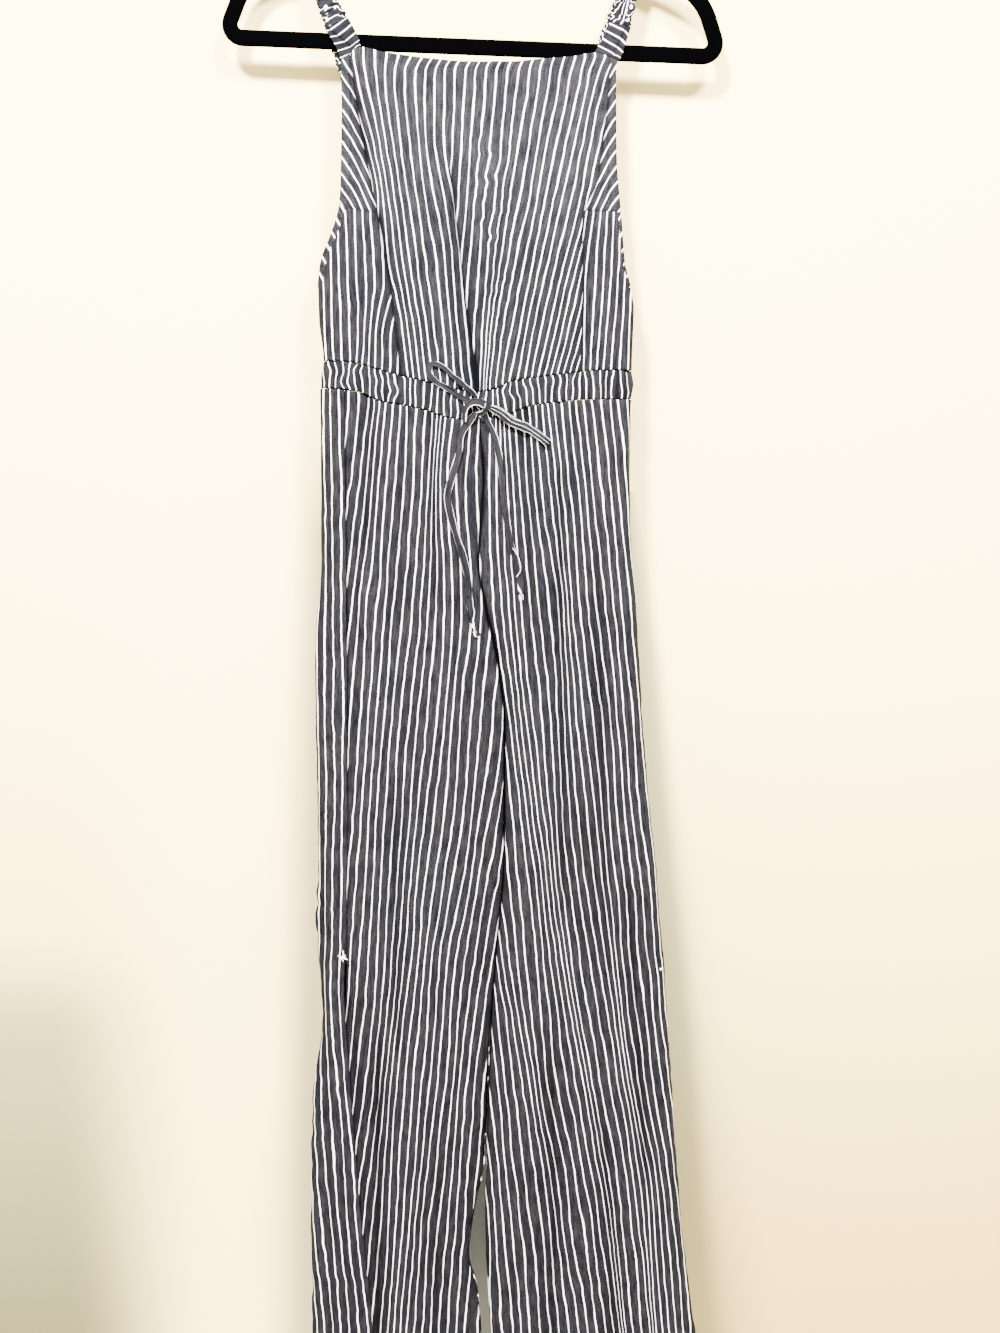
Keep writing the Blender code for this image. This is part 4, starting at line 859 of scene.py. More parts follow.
def band_section(sides):
    """The round-cornered flat section of a band: how far across and how far out, from -1 to 1."""
    turn = 2 * math.pi * (np.arange(sides) + 0.5) / sides
    wide = np.sign(np.cos(turn)) * np.abs(np.cos(turn)) ** 0.6
    flat = np.sign(np.sin(turn)) * np.abs(np.sin(turn)) ** 0.6
    return wide, flat


def rings_about(path, faces, sideways, outwards):
    """Rings round a path, from how far each of their points lies across it and out of its flat side."""
    across, out = band_frame(path, faces)
    return path[:, None] + across[:, None] * sideways[..., None] + out[:, None] * outwards[..., None]


def round_tube(name, path, facing, radii, sides, material):
    """A wire or thread along a path, with its radius at each point."""
    turn = 2 * math.pi * np.arange(sides) / sides
    faces = np.tile(facing, (len(path), 1))
    rings = rings_about(path, faces, np.cos(turn) * radii[:, None], np.sin(turn) * radii[:, None])
    return tube(name, rings, material)


def declare(obj, node=None):
    """Fix a piece to the garment's body, in place of a node where one is named."""
    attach(obj, BODY)
    if node:
        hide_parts(node)


def sew_stitches(name, lines):
    """A run of small grey stitches along each line of surface points, just proud of the cloth."""
    bm = bmesh.new()
    for points, normals in lines:
        along = distances(points)
        at = np.arange(STITCH_SPACING / 2, along[-1], STITCH_SPACING)
        spots = resampled(points, along, at)
        ahead = resampled(points, along, at + 0.5) - spots
        outs = resampled(normals, along, at)
        for spot, way, out in zip(spots, ahead, outs):
            way = Vector(way).normalized() * STITCH_LENGTH / 2
            face = Vector((*out, 0)).normalized()
            side = way.cross(face).normalized() * STITCH_THICK / 2
            turn = Matrix((way, side, face * STITCH_THICK / 2)).transposed().to_4x4()
            place = Matrix.Translation((Vector(spot) + face * STITCH_LIFT) * MM)
            bmesh.ops.create_icosphere(bm, subdivisions=1, radius=MM, matrix=place @ turn)
    made = finish_object(name, bm, thread_material("grey thread"))
    declare(made)
    return made


def sew_threads(name, table, radius):
    """White ends of thread, each a row of spots in front of the cloth."""
    made = []
    from_end = np.minimum(np.arange(THREAD_RINGS), np.arange(THREAD_RINGS)[::-1])
    thin = radius * np.minimum(1, 0.35 + from_end / 4)
    for number, spots in enumerate(table):
        x, z, lift = np.array(spots, float).T
        path = smooth_path(np.column_stack([x, front_surface_y(x, z) - lift, z]), THREAD_RINGS)
        thread = thread_material("white thread")
        made.append(round_tube(f"{name}_{number}", path, (0.3, -1.0, 0.2), thin, THREAD_SIDES, thread))
    bm = bmesh.new()
    for part in made:
        bm.from_mesh(part.data)
        bpy.data.objects.remove(part)
    joined = finish_object(name, bm, thread_material("white thread"))
    declare(joined)
    return joined


# ---------------------------------------------------------------- materials


def add_node(tree, kind, inputs=(), **attributes):
    node = tree.nodes.new(kind)
    for key, value in attributes.items():
        setattr(node, key, value)
    for key, value in dict(inputs).items():
        if isinstance(value, bpy.types.NodeSocket):
            tree.links.new(value, node.inputs[key])
        else:
            node.inputs[key].default_value = value
    return node


def math_node(tree, operation, first, second=0.0):
    return add_node(tree, "ShaderNodeMath", {0: first, 1: second}, operation=operation).outputs[0]


def product(tree, *values):
    """The values, multiplied together in turn."""
    total = values[0]
    for value in values[1:]:
        total = math_node(tree, "MULTIPLY", total, value)
    return total


def ramp(tree, value, start, end, low=0.0, high=1.0, soft=False):
    """From low to high as the value goes from start to end, and held outside of them."""
    inputs = {"Value": value, "From Min": start, "From Max": end, "To Min": low, "To Max": high}
    kind = "SMOOTHSTEP" if soft else "LINEAR"
    return add_node(tree, "ShaderNodeMapRange", inputs, interpolation_type=kind).outputs[0]


def blended(tree, amount, first, second, way="MIX"):
    """The first colour where the amount is 0, and the second laid over it where it is 1."""
    colours = {0: amount, 6: first, 7: second}
    return add_node(tree, "ShaderNodeMix", colours, data_type="RGBA", blend_type=way).outputs[2]


def tinted(tree, colour, tint, amount):
    """The colour, multiplied by the tint where the amount is 1."""
    return blended(tree, amount, colour, (*tint, 1), "MULTIPLY")


def new_material(name, values):
    """A material with these values on its shader, and its node tree and shader."""
    material = bpy.data.materials.new(name)
    material.use_nodes = True
    shader = material.node_tree.nodes["Principled BSDF"]
    for socket, value in values.items():
        shader.inputs[socket].default_value = value
    return material, material.node_tree, shader


def new_group(name, inputs, outputs):
    """An empty shader node group. Inputs are (name, kind, default) and outputs (name, kind)."""
    group = bpy.data.node_groups.new(name, "ShaderNodeTree")
    for label, kind, default in inputs:
        socket = group.interface.new_socket(label, in_out="INPUT", socket_type=kind)
        socket.default_value = default
    for label, kind in outputs:
        group.interface.new_socket(label, in_out="OUTPUT", socket_type=kind)
    return group, group.nodes.new("NodeGroupInput"), group.nodes.new("NodeGroupOutput")


def noise_at(tree, across, along, across_scale, along_scale, detail=2.0, shift=0.0):
    """Noise on the cloth, from 0 to 1. The scales are bumps for each stripe and for each metre."""
    spot = {0: product(tree, across, across_scale), 1: product(tree, along, along_scale), 2: shift}
    place = add_node(tree, "ShaderNodeCombineXYZ", spot).outputs[0]
    inputs = {"Vector": place, "Scale": 1.0, "Detail": detail}
    return add_node(tree, "ShaderNodeTexNoise", inputs).outputs[0]


def grain(tree, scale, detail):
    """Fine noise through an object, from 0 to 1."""
    place = add_node(tree, "ShaderNodeTexCoord").outputs["Object"]
    inputs = {"Vector": place, "Scale": scale, "Detail": detail}
    return add_node(tree, "ShaderNodeTexNoise", inputs).outputs[0]


def raise_bumps(tree, shader, height, strength, distance):
    bump = add_node(tree, "ShaderNodeBump", {"Height": height, "Strength": strength, "Distance": distance})
    tree.links.new(bump.outputs[0], shader.inputs["Normal"])


YARNS_A_STRIPE, YARNS_A_METRE = 18, 1100


def weave_group():
    """Plain weave and slub of thin cotton: a height for bump, the yarns' mottle and broad patches of painted
    shade.
    """
    group, given, put = new_group(
        "plain weave",
        [(label, "NodeSocketFloat", 0.0) for label in ("Stripe", "Run")],
        [(label, "NodeSocketFloat") for label in ("Height", "Mottle", "Patches")],
    )
    stripe, run = given.outputs["Stripe"], given.outputs["Run"]
    warp = math_node(group, "SINE", product(group, stripe, YARNS_A_STRIPE * 2 * math.pi))
    weft = math_node(group, "SINE", product(group, run, YARNS_A_METRE * 2 * math.pi))
    slub = noise_at(group, stripe, run, 14.0, 90.0, 3.0)
    yarns = product(group, noise_at(group, stripe, run, 9.0, 700.0, 2.0, 4.0), 0.4)
    streaks = product(group, noise_at(group, stripe, run, 4.5, 70.0, 3.0, 5.0), 0.6)
    results = {
        "Height": math_node(group, "ADD", product(group, warp, weft, 0.5), slub),
        "Mottle": math_node(group, "ADD", yarns, streaks),
        "Patches": noise_at(group, stripe, run, 0.6, 26.0, 3.0, 8.0),
    }
    for name, socket in results.items():
        group.links.new(socket, put.inputs[name])
    return group


def stripe_group():
    """1 on the white stripes and 0 on the grey, with uneven edges and widths, narrower down the legs."""
    group, given, put = new_group(
        "woven stripes",
        [("Stripe", "NodeSocketFloat", 0.0), ("Run", "NodeSocketFloat", 0.0),
         ("Share", "NodeSocketFloat", 0.2)],
        [("White", "NodeSocketFloat")],
    )
    stripe, run = given.outputs["Stripe"], given.outputs["Run"]
    wobble = math_node(group, "SUBTRACT", noise_at(group, stripe, run, 0.9, 75.0, 3.0, 1.0), 0.5)
    number = math_node(group, "ADD", stripe, product(group, wobble, 0.16))
    index = math_node(group, "ROUND", number)
    width = ramp(group, noise_at(group, index, run, 3.7, 24.0, 3.0, 2.0), 0.28, 0.72, 0.34, 0.84)
    low = ramp(group, run, -0.45, -1.0, 1.0, 0.74)
    half = product(group, width, low, given.outputs["Share"])
    inside = math_node(group, "SUBTRACT", half, math_node(group, "PINGPONG", number, 0.5))
    edge = ramp(group, inside, -0.038, 0.034, soft=True)
    thin = ramp(group, noise_at(group, index, run, 5.1, 40.0, 3.0, 6.0), 0.3, 0.55, 0.55, 1.0)
    group.links.new(product(group, edge, thin), put.inputs["White"])
    return group


# Runs over which the grey is painted darker, as shade where cloth begins to lie behind the cloth.
DOUBLE_LAYER_SHADE_RUNS = ((-0.33, -0.43), (-0.21, -0.2))


def striped_cotton(settings):
    """Yarn-dyed stripes that follow the stripe numbers in the cloth's UV map, with painted shade in creases,
    folds, seams and broad patches, where cloth lies behind and towards the foot.
    """
    material, tree, shader = new_material("striped cotton", {"Roughness": 0.85, "Specular IOR Level": 0.02})
    place = add_node(tree, "ShaderNodeUVMap", uv_map="stripes").outputs[0]
    split = add_node(tree, "ShaderNodeSeparateXYZ", {0: place})
    given = {"Stripe": split.outputs[0], "Run": split.outputs[1]}
    # The painted shade of creases, folds and seams, from the mesh's attribute.
    crease = add_node(tree, "ShaderNodeAttribute", attribute_name="crease").outputs["Fac"]
    narrowing = add_node(tree, "ShaderNodeAttribute", attribute_name="narrowing").outputs["Fac"]
    share = product(tree, math_node(tree, "SUBTRACT", 1.0, narrowing), settings.white_share)
    weave = add_node(tree, "ShaderNodeGroup", given, node_tree=weave_group())
    stripes = add_node(tree, "ShaderNodeGroup", {**given, "Share": share}, node_tree=stripe_group())
    mottle = ramp(tree, weave.outputs["Mottle"], 0.36, 0.66)
    # Broad patches of painted shade, as of soft folds.
    patch_shade = ramp(tree, weave.outputs["Patches"], 0.4, 0.66)
    # Painted shade where cloth lies behind the cloth.
    double_layer_shade = math_node(tree, "MAXIMUM", *(ramp(tree, given["Run"], start, end) for start, end in DOUBLE_LAYER_SHADE_RUNS))
    # Painted shade that darkens the cloth towards its foot, as the light falls off.
    foot = ramp(tree, given["Run"], -0.95, -1.4)
    grey = blended(tree, mottle, (*settings.dark_yarn, 1), (*settings.pale_yarn, 1))
    # The grey darkened by painted shade: in broad patches, in creases, folds and seams, where cloth lies
    # behind it and towards the foot.
    for tint, amount in (
        ((0.62, 0.62, 0.72), patch_shade),
        (settings.crease_tint, crease),
        (settings.double_layer_shade_tint, double_layer_shade),
        ((0.88, 0.85, 0.9), foot),
    ):
        grey = tinted(tree, grey, tint, amount)
    # The white gets painted shade in the same patches, and nearly black painted shade in the deepest creases
    # and seams.
    white = tinted(tree, (*settings.white_yarn, 1), (0.86, 0.85, 0.86), patch_shade)
    white = tinted(tree, white, (0.0015, 0.0015, 0.0025), crease)
    tree.links.new(blended(tree, stripes.outputs["White"], grey, white), shader.inputs["Base Color"])
    raise_bumps(tree, shader, weave.outputs["Height"], 0.3, 0.0003)
    return material


DEEP_AND_PALE = {
    "white thread": ((0.72, 0.71, 0.69), (0.95, 0.945, 0.93)),
    "grey thread": ((0.008, 0.0085, 0.011), (0.05, 0.052, 0.062)),
    "black flock": ((0.00005, 0.00005, 0.00006), (0.0004, 0.0004, 0.0005)),
}


def fibrous_material(name, scale, detail, strength, distance, values):
    """Fine fibres that shade from a deep to a pale colour and stand up a little."""
    material, tree, shader = new_material(name, values)
    fibres = grain(tree, scale, detail)
    deep, pale = ((*colour, 1) for colour in DEEP_AND_PALE[name])
    tree.links.new(blended(tree, fibres, deep, pale), shader.inputs["Base Color"])
    raise_bumps(tree, shader, fibres, strength, distance)
    return material


def thread_material(name):
    """Twisted sewing cotton, made once for each colour."""
    values = {"Roughness": 0.8, "Specular IOR Level": 0.1}
    return bpy.data.materials.get(name) or fibrous_material(name, 1800.0, 3.0, 0.5, 0.0002, values)


def flock_material():
    values = {"Roughness": 0.95, "Specular IOR Level": 0.0, "Sheen Weight": 0.0005}
    return fibrous_material("black flock", 2600.0, 4.0, 0.6, 0.0004, values)


def wire_material():
    values = {"Base Color": (0.62, 0.62, 0.64, 1), "Metallic": 1.0}
    material, tree, shader = new_material("plated wire", values)
    rough = ramp(tree, grain(tree, 900.0, 5.0), 0.0, 1.0, 0.16, 0.34)
    tree.links.new(rough, shader.inputs["Roughness"])
    return material


# ---------------------------------------------------------------- pieces


def make_legs(settings, cotton):
    for side, guides, seed in (("left", LEFT_LEG_STRIPES, 10), ("right", RIGHT_LEG_STRIPES, 20)):
        front, back = leg_cloth(side, LEG_ROWS, LEG_FRONT_COLUMNS, LEG_BACK_COLUMNS)
        sew_leg_front(settings, cotton, side, front, guides, seed)
        sew_leg_back(settings, cotton, side, back, seed)


def sew_leg_front(settings, cotton, side, cloth, guides, seed):
    left_leg = side == "left"
    x, z = cloth.points[..., 0], cloth.points[..., 2]
    outer = x_on(LEFT_EDGE if left_leg else RIGHT_EDGE, z)
    inner = x_on(LEFT_LEG_INNER if left_leg else RIGHT_LEG_INNER, z)
    numbers = stripe_numbers(LEG_HEIGHTS, guides, x, z)
    numbers = round_the_edge(cloth.points, numbers, np.abs(outer - x) > TURNED_EDGE, settings.pitch / MM)
    numbers += stripe_wander(x, z, seed + 6)
    depth, sharp = crinkles(settings, x, z, seed)
    # Painted shade: in the creases and folds, over the front beside the left slit, along the hip's seam, and
    # in the deep fold along the inner edge.
    shade = 0.4 * sharp + 0.85 * fold_lines(FRONT_FOLDS + FRONT_CREASES, x, z)
    if left_leg:
        shade += 0.5 * bell(x - x_on(LEFT_SLIT_FRONT, z), 17) * ease((SLIT_TOP_Z - z) / 60)
        at_seam = x - x_on(LEFT_OUTSEAM, z)
        shade = np.maximum(shade, 0.8 * ease((2.4 - at_seam) / 1.8) * (z > SLIT_TOP_Z))
    shade = np.clip(np.maximum(shade, seam_shade(np.abs(inner - x), z)), 0, 1)
    cloth = pressed(cloth, depth + fold_depth(FRONT_CREASES, x, z) + leg_hem(cloth, -1))
    node = f"leg_front_{side}"
    made = sew_panel(node, cloth, numbers, z, cotton, settings.thickness / MM, shade=shade)
    sewn = [sew_stitches(f"{node}_stitches", leg_stitch_lines(cloth, -1))]
    if left_leg:
        sewn.append(sew_threads("bar_tacks", BAR_TACKS, BAR_TACK_THREAD))
    declare_panel(made, node)


def sew_leg_back(settings, cotton, side, cloth, seed):
    x, y, z = (cloth.points[..., k] for k in range(3))
    along = along_rows(cloth.points)
    fullness = 1 + 0.3 * np.exp((z - LEG_TOP) / 250) * ease((along - 20) / 60)
    start = 4 if side == "left" else 2
    numbers = (along * fullness - start) / (settings.pitch / MM) + stripe_wander(along, z, seed + 8)
    depth, sharp = crinkles(settings, along, z, seed + 5)
    on_front = y < 0
    folded = np.where(on_front, fold_depth(FRONT_CREASES, x, z), 0)
    lines = np.where(on_front, fold_lines(FRONT_CREASES, x, z), fold_lines(BACK_FOLDS, x, z))
    # Painted shade in the creases and the folds' troughs.
    shade = np.clip(0.4 * sharp + 0.85 * lines, 0, 1)
    cloth = pressed(cloth, depth + folded + leg_hem(cloth, 0))
    node = f"leg_back_{side}"
    made = sew_panel(node, cloth, numbers, z, cotton, settings.thickness / MM, shade=shade)
    sewn = [sew_stitches(f"{node}_stitches", leg_stitch_lines(cloth, 0))]
    declare_panel(made, node)


def leg_hem(cloth, slit):
    """How far the turned hems push the leg's cloth in: at its foot and beside the slit's column."""
    z = cloth.points[..., 2]
    along = along_rows(cloth.points)
    beside = along if slit == 0 else along[:, -1:] - along
    grooves = bell(z - HEM_Z - LEG_HEM, 1.6)
    below = ease((SLIT_TOP_Z - z) / 12)
    return 0.45 * np.maximum(grooves, below * bell(beside - HEM_BAND, 1.3))


def leg_stitch_lines(cloth, slit):
    """The lines that a leg's hem and its slit's edge are sewn along."""
    rows = len(cloth.points)
    foot = int(round((rows - 1) * (1 - LEG_HEM / (LEG_TOP - HEM_Z))))
    top = int(round((rows - 1) * (LEG_TOP - SLIT_TOP_Z) / (LEG_TOP - HEM_Z))) + 3
    along = along_rows(cloth.points)
    column = int(np.argmin(np.abs(along[foot] - HEM_BAND)))
    column = column if slit == 0 else along.shape[1] - 1 - column
    return [
        (cloth.points[foot, 2:-2], cloth.normals[foot, 2:-2]),
        (cloth.points[top:foot, column], cloth.normals[top:foot, column]),
    ]


def declare_panel(obj, node):
    declare(obj, node)


def from_armhole(x, z):
    """How far in from the side edges each point lies, beside the armholes only."""
    from_left = x - x_on(LEFT_EDGE, z)
    from_right = x_on(RIGHT_EDGE, z) - x
    return np.where(z > ARMHOLE_FOOT, np.minimum(from_left, from_right), 99)


def hem_depth(x, z):
    """The turned hem along the neckline and armholes: a proud band that ends in a stitched groove."""
    inside = np.minimum(z_on(NECKLINE, x) - z, from_armhole(x, z))
    band = ease((HEM_BAND - inside) / 2)
    return 0.5 * bell(inside - HEM_BAND, 1.5) - 0.45 * band


def bodice_numbers(x, z):
    """Stripe numbers for each zone of the bodice's front, and each point's zone.

    The zones are the middle left and right of the centre fold, then the left and right sides above the
    darts, the same below them, and the armholes' turned hems below them. In all hems the stripes slant
    towards the edge.
    """
    towards = np.where(x < 0, 1, -1)
    turned = np.clip(HEM_BAND - from_armhole(x, z), 0, None)
    side_x, side_z = x + towards * HEM_SHIFT_X * turned, z - HEM_SHIFT_Z * turned
    tables = [
        stripe_numbers(BODICE_HEIGHTS, BODICE_LEFT_STRIPES, x, z),
        stripe_numbers(BODICE_HEIGHTS, BODICE_RIGHT_STRIPES, x, z),
        (side_x + SIDE_LEAN * side_z) / SIDE_PITCH,
        (-side_x + SIDE_LEAN * side_z) / SIDE_PITCH,
        stripe_numbers(SIDE_HEIGHTS, LEFT_SIDE_STRIPES, x, z),
        stripe_numbers(SIDE_HEIGHTS, RIGHT_SIDE_STRIPES, x, z),
        *((slant.lean * x + z + slant.shift) / slant.pitch for slant in ARMHOLE_SLANTS),
    ]
    _, left_hem, left, centre, right, _, right_side = BODICE_COLUMNS
    column = np.arange(x.shape[1])
    above = np.arange(len(x))[:, None] < len(x) // 2
    hem = ((column < left_hem) | (column >= right_side - RIGHT_HEM_COLUMNS)) & (z > ARMHOLE_FOOT)
    side = np.where(column < left, 2, 3) + np.where(above, 0, np.where(hem, 4, 2))
    middle = np.where(column < centre, 0, 1)
    return tables, np.where((column < left) | (column >= right), side, middle)


def bodice_lines(x, z):
    """The dark lines of painted shade in the long folds, the darts and the hems' stitching, from 0 to 1."""
    lines = 0.3 * bell(from_armhole(x, z) - HEM_BAND, 0.8)
    for table, top, width, strength in (
        (LEFT_LONG_FOLD, -240, 1.5, 0.9), (RIGHT_LONG_FOLD, -240, 1.3, 0.8), (CENTRE_FOLD, -325, 1.2, 1.0),
    ):
        deep = strength * ease((top - z) / 40) * (0.75 + 0.25 * ripple(0 * x, z, 1, 30, int(-top)))
        lines = np.maximum(lines, deep * bell(x - x_on(table, z), width))
    gap = 0.4 + 2.4 * ease((-470 - z) / 50)
    open_fold = ease(1.6 - np.abs(x - x_on(CENTRE_FOLD, z) - 0.8) / gap) * (z < -420)
    outside = (x < x_on(LEFT_LONG_FOLD, z)) | (x > x_on(RIGHT_LONG_FOLD, z))
    darts = 0.55 * outside * bell(z - z_on(DART_LINE, x), 1.1)
    return np.maximum(np.maximum(lines, open_fold), darts)


def above_waist(folds, waist):
    """A function for how far a bodice panel's folds and the gathers above its waist push it in."""

    def depth(x, z, level):
        return fold_depth(folds, x, z) + pleats(x, (z - z_on(waist, x)) * BODICE_FADE)

    return depth


def sew_bodice_front(settings, cotton):
    front = body_cloth(
        [NECKLINE, DART_LINE, WAIST_FRONT], BODICE_ROWS, BODICE_COLUMNS, True,
        above_waist(BODICE_FOLDS, WAIST_FRONT), [LEFT_LONG_FOLD, CENTRE_FOLD, RIGHT_LONG_FOLD],
    )
    x, z = front.points[..., 0], front.points[..., 2]
    numbers, zones = bodice_numbers(x, z)
    depth, sharp = crinkles(settings, x, z, 30)
    crumpled = bell(x - 14, 16) * ease((-290 - z) / 30) * ease((z + 500) / 60)
    wander = 0.8 * stripe_wander(x, z, 36) + 0.16 * crumpled * ripple(x, z, 14, 6, 39)
    numbers = [table + wander for table in numbers]
    lines = bodice_lines(x, z)
    # Painted shade in the creases, the soft folds and the dark lines.
    shade = np.clip(0.34 * sharp + 0.42 * fold_lines(BODICE_FOLDS, x, z) + lines, 0, 1)
    front = pressed(front, depth * 0.8 + hem_depth(x, z) + 1.2 * lines)
    thickness = settings.thickness / MM
    made = sew_panel("bodice_front", front, numbers, z, cotton, thickness, zones=zones, shade=shade)
    sewn = sew_stitches("bodice_stitches", bodice_stitch_lines(front))
    declare_panel(
        made, "bodice_front"
    )


def sew_bodice_back(settings, cotton):
    back = body_cloth(
        [BACK_TOP, WAIST_BACK], BACK_ROWS, (0, BACK_COLUMNS), False, above_waist(BACK_FOLDS, WAIST_BACK)
    )
    x, z = back.points[..., 0], back.points[..., 2]
    numbers = 1.25 * x / (settings.pitch / MM) + stripe_wander(x, z, 46)
    depth, sharp = crinkles(settings, x, z, 40)
    back = pressed(back, depth)
    # Painted shade in the crinkles' creases.
    made = sew_panel("bodice_back", back, numbers, z, cotton, settings.thickness / MM, shade=0.4 * sharp)
    declare_panel(made, "bodice_back")


def bodice_stitch_lines(front):
    """The lines that the hems of the neckline and the armholes are sewn along."""
    rows = slice(3, int(0.72 * BODICE_ROWS))
    return [
        (front.points[row, columns], front.normals[row, columns])
        for row, columns in ((4, slice(8, -8)), (rows, 5), (rows, -6))
    ]


def lowered(edge, by):
    return [Edge(row.x, row.z - by) for row in edge]


def make_casing(settings, cotton):
    def gathers(x, z, level):
        return casing_gathers(x, level)

    for name, top, low, front in (
        ("waist_casing_front", WAIST_FRONT, CASING_FRONT, True),
        ("waist_casing_back", WAIST_BACK, CASING_BACK, False),
    ):
        edges = [lowered(top, WAIST_GAP), low]
        cloth = body_cloth(edges, CASING_ROWS, (0, CASING_COLUMNS), front, gathers)
        x, z = cloth.points[..., 0], cloth.points[..., 2]
        numbers = x / CASING_PITCH + 0.4 * ripple(x, z, 11, 9, 50)
        depth, sharp = crinkles(settings, x, z, 51)
        # Painted shade in the crinkles' creases and in the hollows between the gathers.
        dip = casing_gathers(x, 0.5 + 0 * z) + CASING_BULGE
        shade = np.clip(0.26 * sharp + 0.45 * ease(dip / CASING_GATHER), 0, 1)
        cloth = pressed(cloth, depth)
        made = sew_panel(name, cloth, numbers, z, cotton, settings.thickness / MM, shade=shade)
        declare_panel(made, name)


def tab_cloth(table, run):
    """A tab between its left and right edge, whose foot follows the neckline."""
    left = smooth_path([(row.left_x, row.y, row.left_z) for row in table], TAB_ROWS)
    right = smooth_path([(row.right_x, row.y, row.right_z) for row in table], TAB_ROWS)
    t = np.linspace(0, 1, TAB_COLUMNS)[:, None]
    points = np.array([a + (b - a) * t for a, b in zip(left, right)])
    points[..., 1] -= TAB_THICK / 2
    lift = z_on(NECKLINE, points[0, :, 0]) + TAB_GAP - points[0, :, 2]
    points[..., 2] += lift * ease(1 - run / 8)
    normals = np.zeros((*points.shape[:2], 2))
    normals[..., 1] = -1
    return Cloth(points, normals)


def make_tabs(settings, cotton):
    run, across = np.meshgrid(
        np.linspace(0, TAB_LENGTH, TAB_ROWS), np.linspace(0, TAB_WIDTH, TAB_COLUMNS), indexing="ij"
    )
    for side, seed in (("left", 60), ("right", 70)):
        look = TAB_LOOKS[side]
        depth, sharp = crinkles(settings, run, across, seed)
        fold = look.fold + look.fold_slope * run
        beyond = np.clip(look.fold_side * (across - fold), 0, None)
        numbers = (run + look.lean * across + look.fold_lean * beyond) / look.pitch + look.shift
        corner = ease((across - look.corner) / look.corner_reach) * ease(1 - run / 7)
        numbers += 0.8 * stripe_wander(run, across, seed + 3) - 0.5 * corner
        # A sharp fold along the tab's slanted fold line, which presses the cloth in and has shade painted
        # along it; the crinkles and the whole tab get painted shade too.
        crease = 0.7 * bell(across - fold, 0.9) * ease(run / 12)
        shade = np.clip(0.5 * sharp + crease + look.shade, 0, 1)
        cloth = pressed(tab_cloth(look.rows, run), depth * 0.7 + 0.8 * crease)
        node = f"strap_tab_{side}"
        made = sew_panel(
            node, cloth, numbers, across, cotton, TAB_THICK, shade=shade, narrowing=look.narrowing
        )
        declare_panel(made, node)


def rolled(x, z):
    """A point of the hanger, turned about the hook's inner top so that the right end hangs lower."""
    cos, sin = math.cos(HANGER_ROLL), math.sin(HANGER_ROLL)
    return x * cos + z * sin, z * cos - x * sin


def arm_centre_z(x):
    return ARM_PEAK_Z - abs(x) * math.tan(ARM_SLOPE)


def strap_loop(side):
    """The turn over the hanger's arm: its points, and the way that each one's flat side faces."""
    cross = STRAP_CROSSING[side]
    slope = -math.copysign(ARM_SLOPE, cross)
    up_x, up_z = rolled(-math.sin(slope), math.cos(slope))
    arm_x, arm_z = rolled(cross + NECK_OFFSET, arm_centre_z(cross))
    rise = (BAND - HANGER_THICK) / 2
    radius = HANGER_THICK / 2 + SEAM_GAP + STRAP_THICK / 2 + 0.5
    spots, faces = [], []
    for turn in np.linspace(0, math.pi, 9):
        face = np.array([up_x * math.sin(turn), -math.cos(turn), up_z * math.sin(turn)])
        spots.append(np.array([arm_x + up_x * rise, 0, arm_z + up_z * rise]) + face * radius)
        faces.append(face)
    return np.array(spots), np.array(faces)


def left_strap_look(along, wrap, bumps, dips):
    """Stripes that cross the left strap in shallow arrows, and the shade in its gathers."""
    numbers = (along - 0.35 * wrap + 0.5 * np.abs(wrap)) / 7.8 + 0.42 * bumps
    return numbers, np.clip(0.12 + 1.5 * (dips - 0.05), 0, 0.95)


def right_strap_look(along, wrap, bumps, dips):
    """A white stripe down the right strap with gathered ones beside it, and the shade in its gathers."""
    wrap = wrap + 1.0
    frilled = ease((np.abs(wrap) - 1.6) / 2)
    numbers = wrap / 6.4 + frilled * (0.5 * bumps + along / 11)
    return numbers, np.clip(1.5 * (dips - 0.2), 0, 0.92) * ease((np.abs(wrap) - 1.0) / 1.5)


def make_straps(cotton):
    for side, front, back, look, narrowing, seed in (
        ("left", STRAP_LEFT_FRONT, STRAP_LEFT_BACK, left_strap_look, 0.2, 80),
        ("right", STRAP_RIGHT_FRONT, STRAP_RIGHT_BACK, right_strap_look, 0.0, 90),
    ):
        rows = [[*row, *FRONTWARDS] for row in front]
        rows += [[*spot, LOOP_WIDTH, *face] for spot, face in zip(*strap_loop(side))]
        rows += [[*row, *BACKWARDS] for row in back]
        path = smooth_path(rows, STRAP_RINGS)
        spots, widths, faces = path[:, :3], path[:, 3], path[:, 4:]
        run = distances(spots)
        wide, flat = band_section(STRAP_SIDES)
        place = wide[None] * widths[:, None] / 2
        along = run[:, None] + 0 * place
        ridges = ripple(along, place + 40 * (flat[None] > 0), 1.5, 5, seed)
        frill = ripple(along, np.sign(place), 1.9, 1, seed + 1) * np.abs(wide[None]) ** 6
        thick = STRAP_THICK / 2 * (1 - 0.35 * bell(place, 3)) * (1 + 0.5 * ridges)
        rings = rings_about(spots, faces, place + 1.5 * frill * np.sign(place), flat[None] * thick)
        wrap = closed_round(place)
        along = run[:, None] + 0 * wrap
        bumps, dips = (ripple(along, wrap, 2.1, 3.2, seed + k) for k in (2, 3))
        numbers, shade = look(along, wrap, bumps, dips)
        made = tube(
            f"strap_ruched_{side}_cloth", rings, cotton, numbers=numbers, run=along / STRAND_RUN, shade=shade,
            narrowing=narrowing,
        )
        declare(made, f"strap_ruched_{side}")


def knot_centre():
    x, z = np.array([KNOT.x]), np.array([KNOT.z])
    return np.array([KNOT.x, front_surface_y(x, z)[0] - KNOT.lift, KNOT.z])


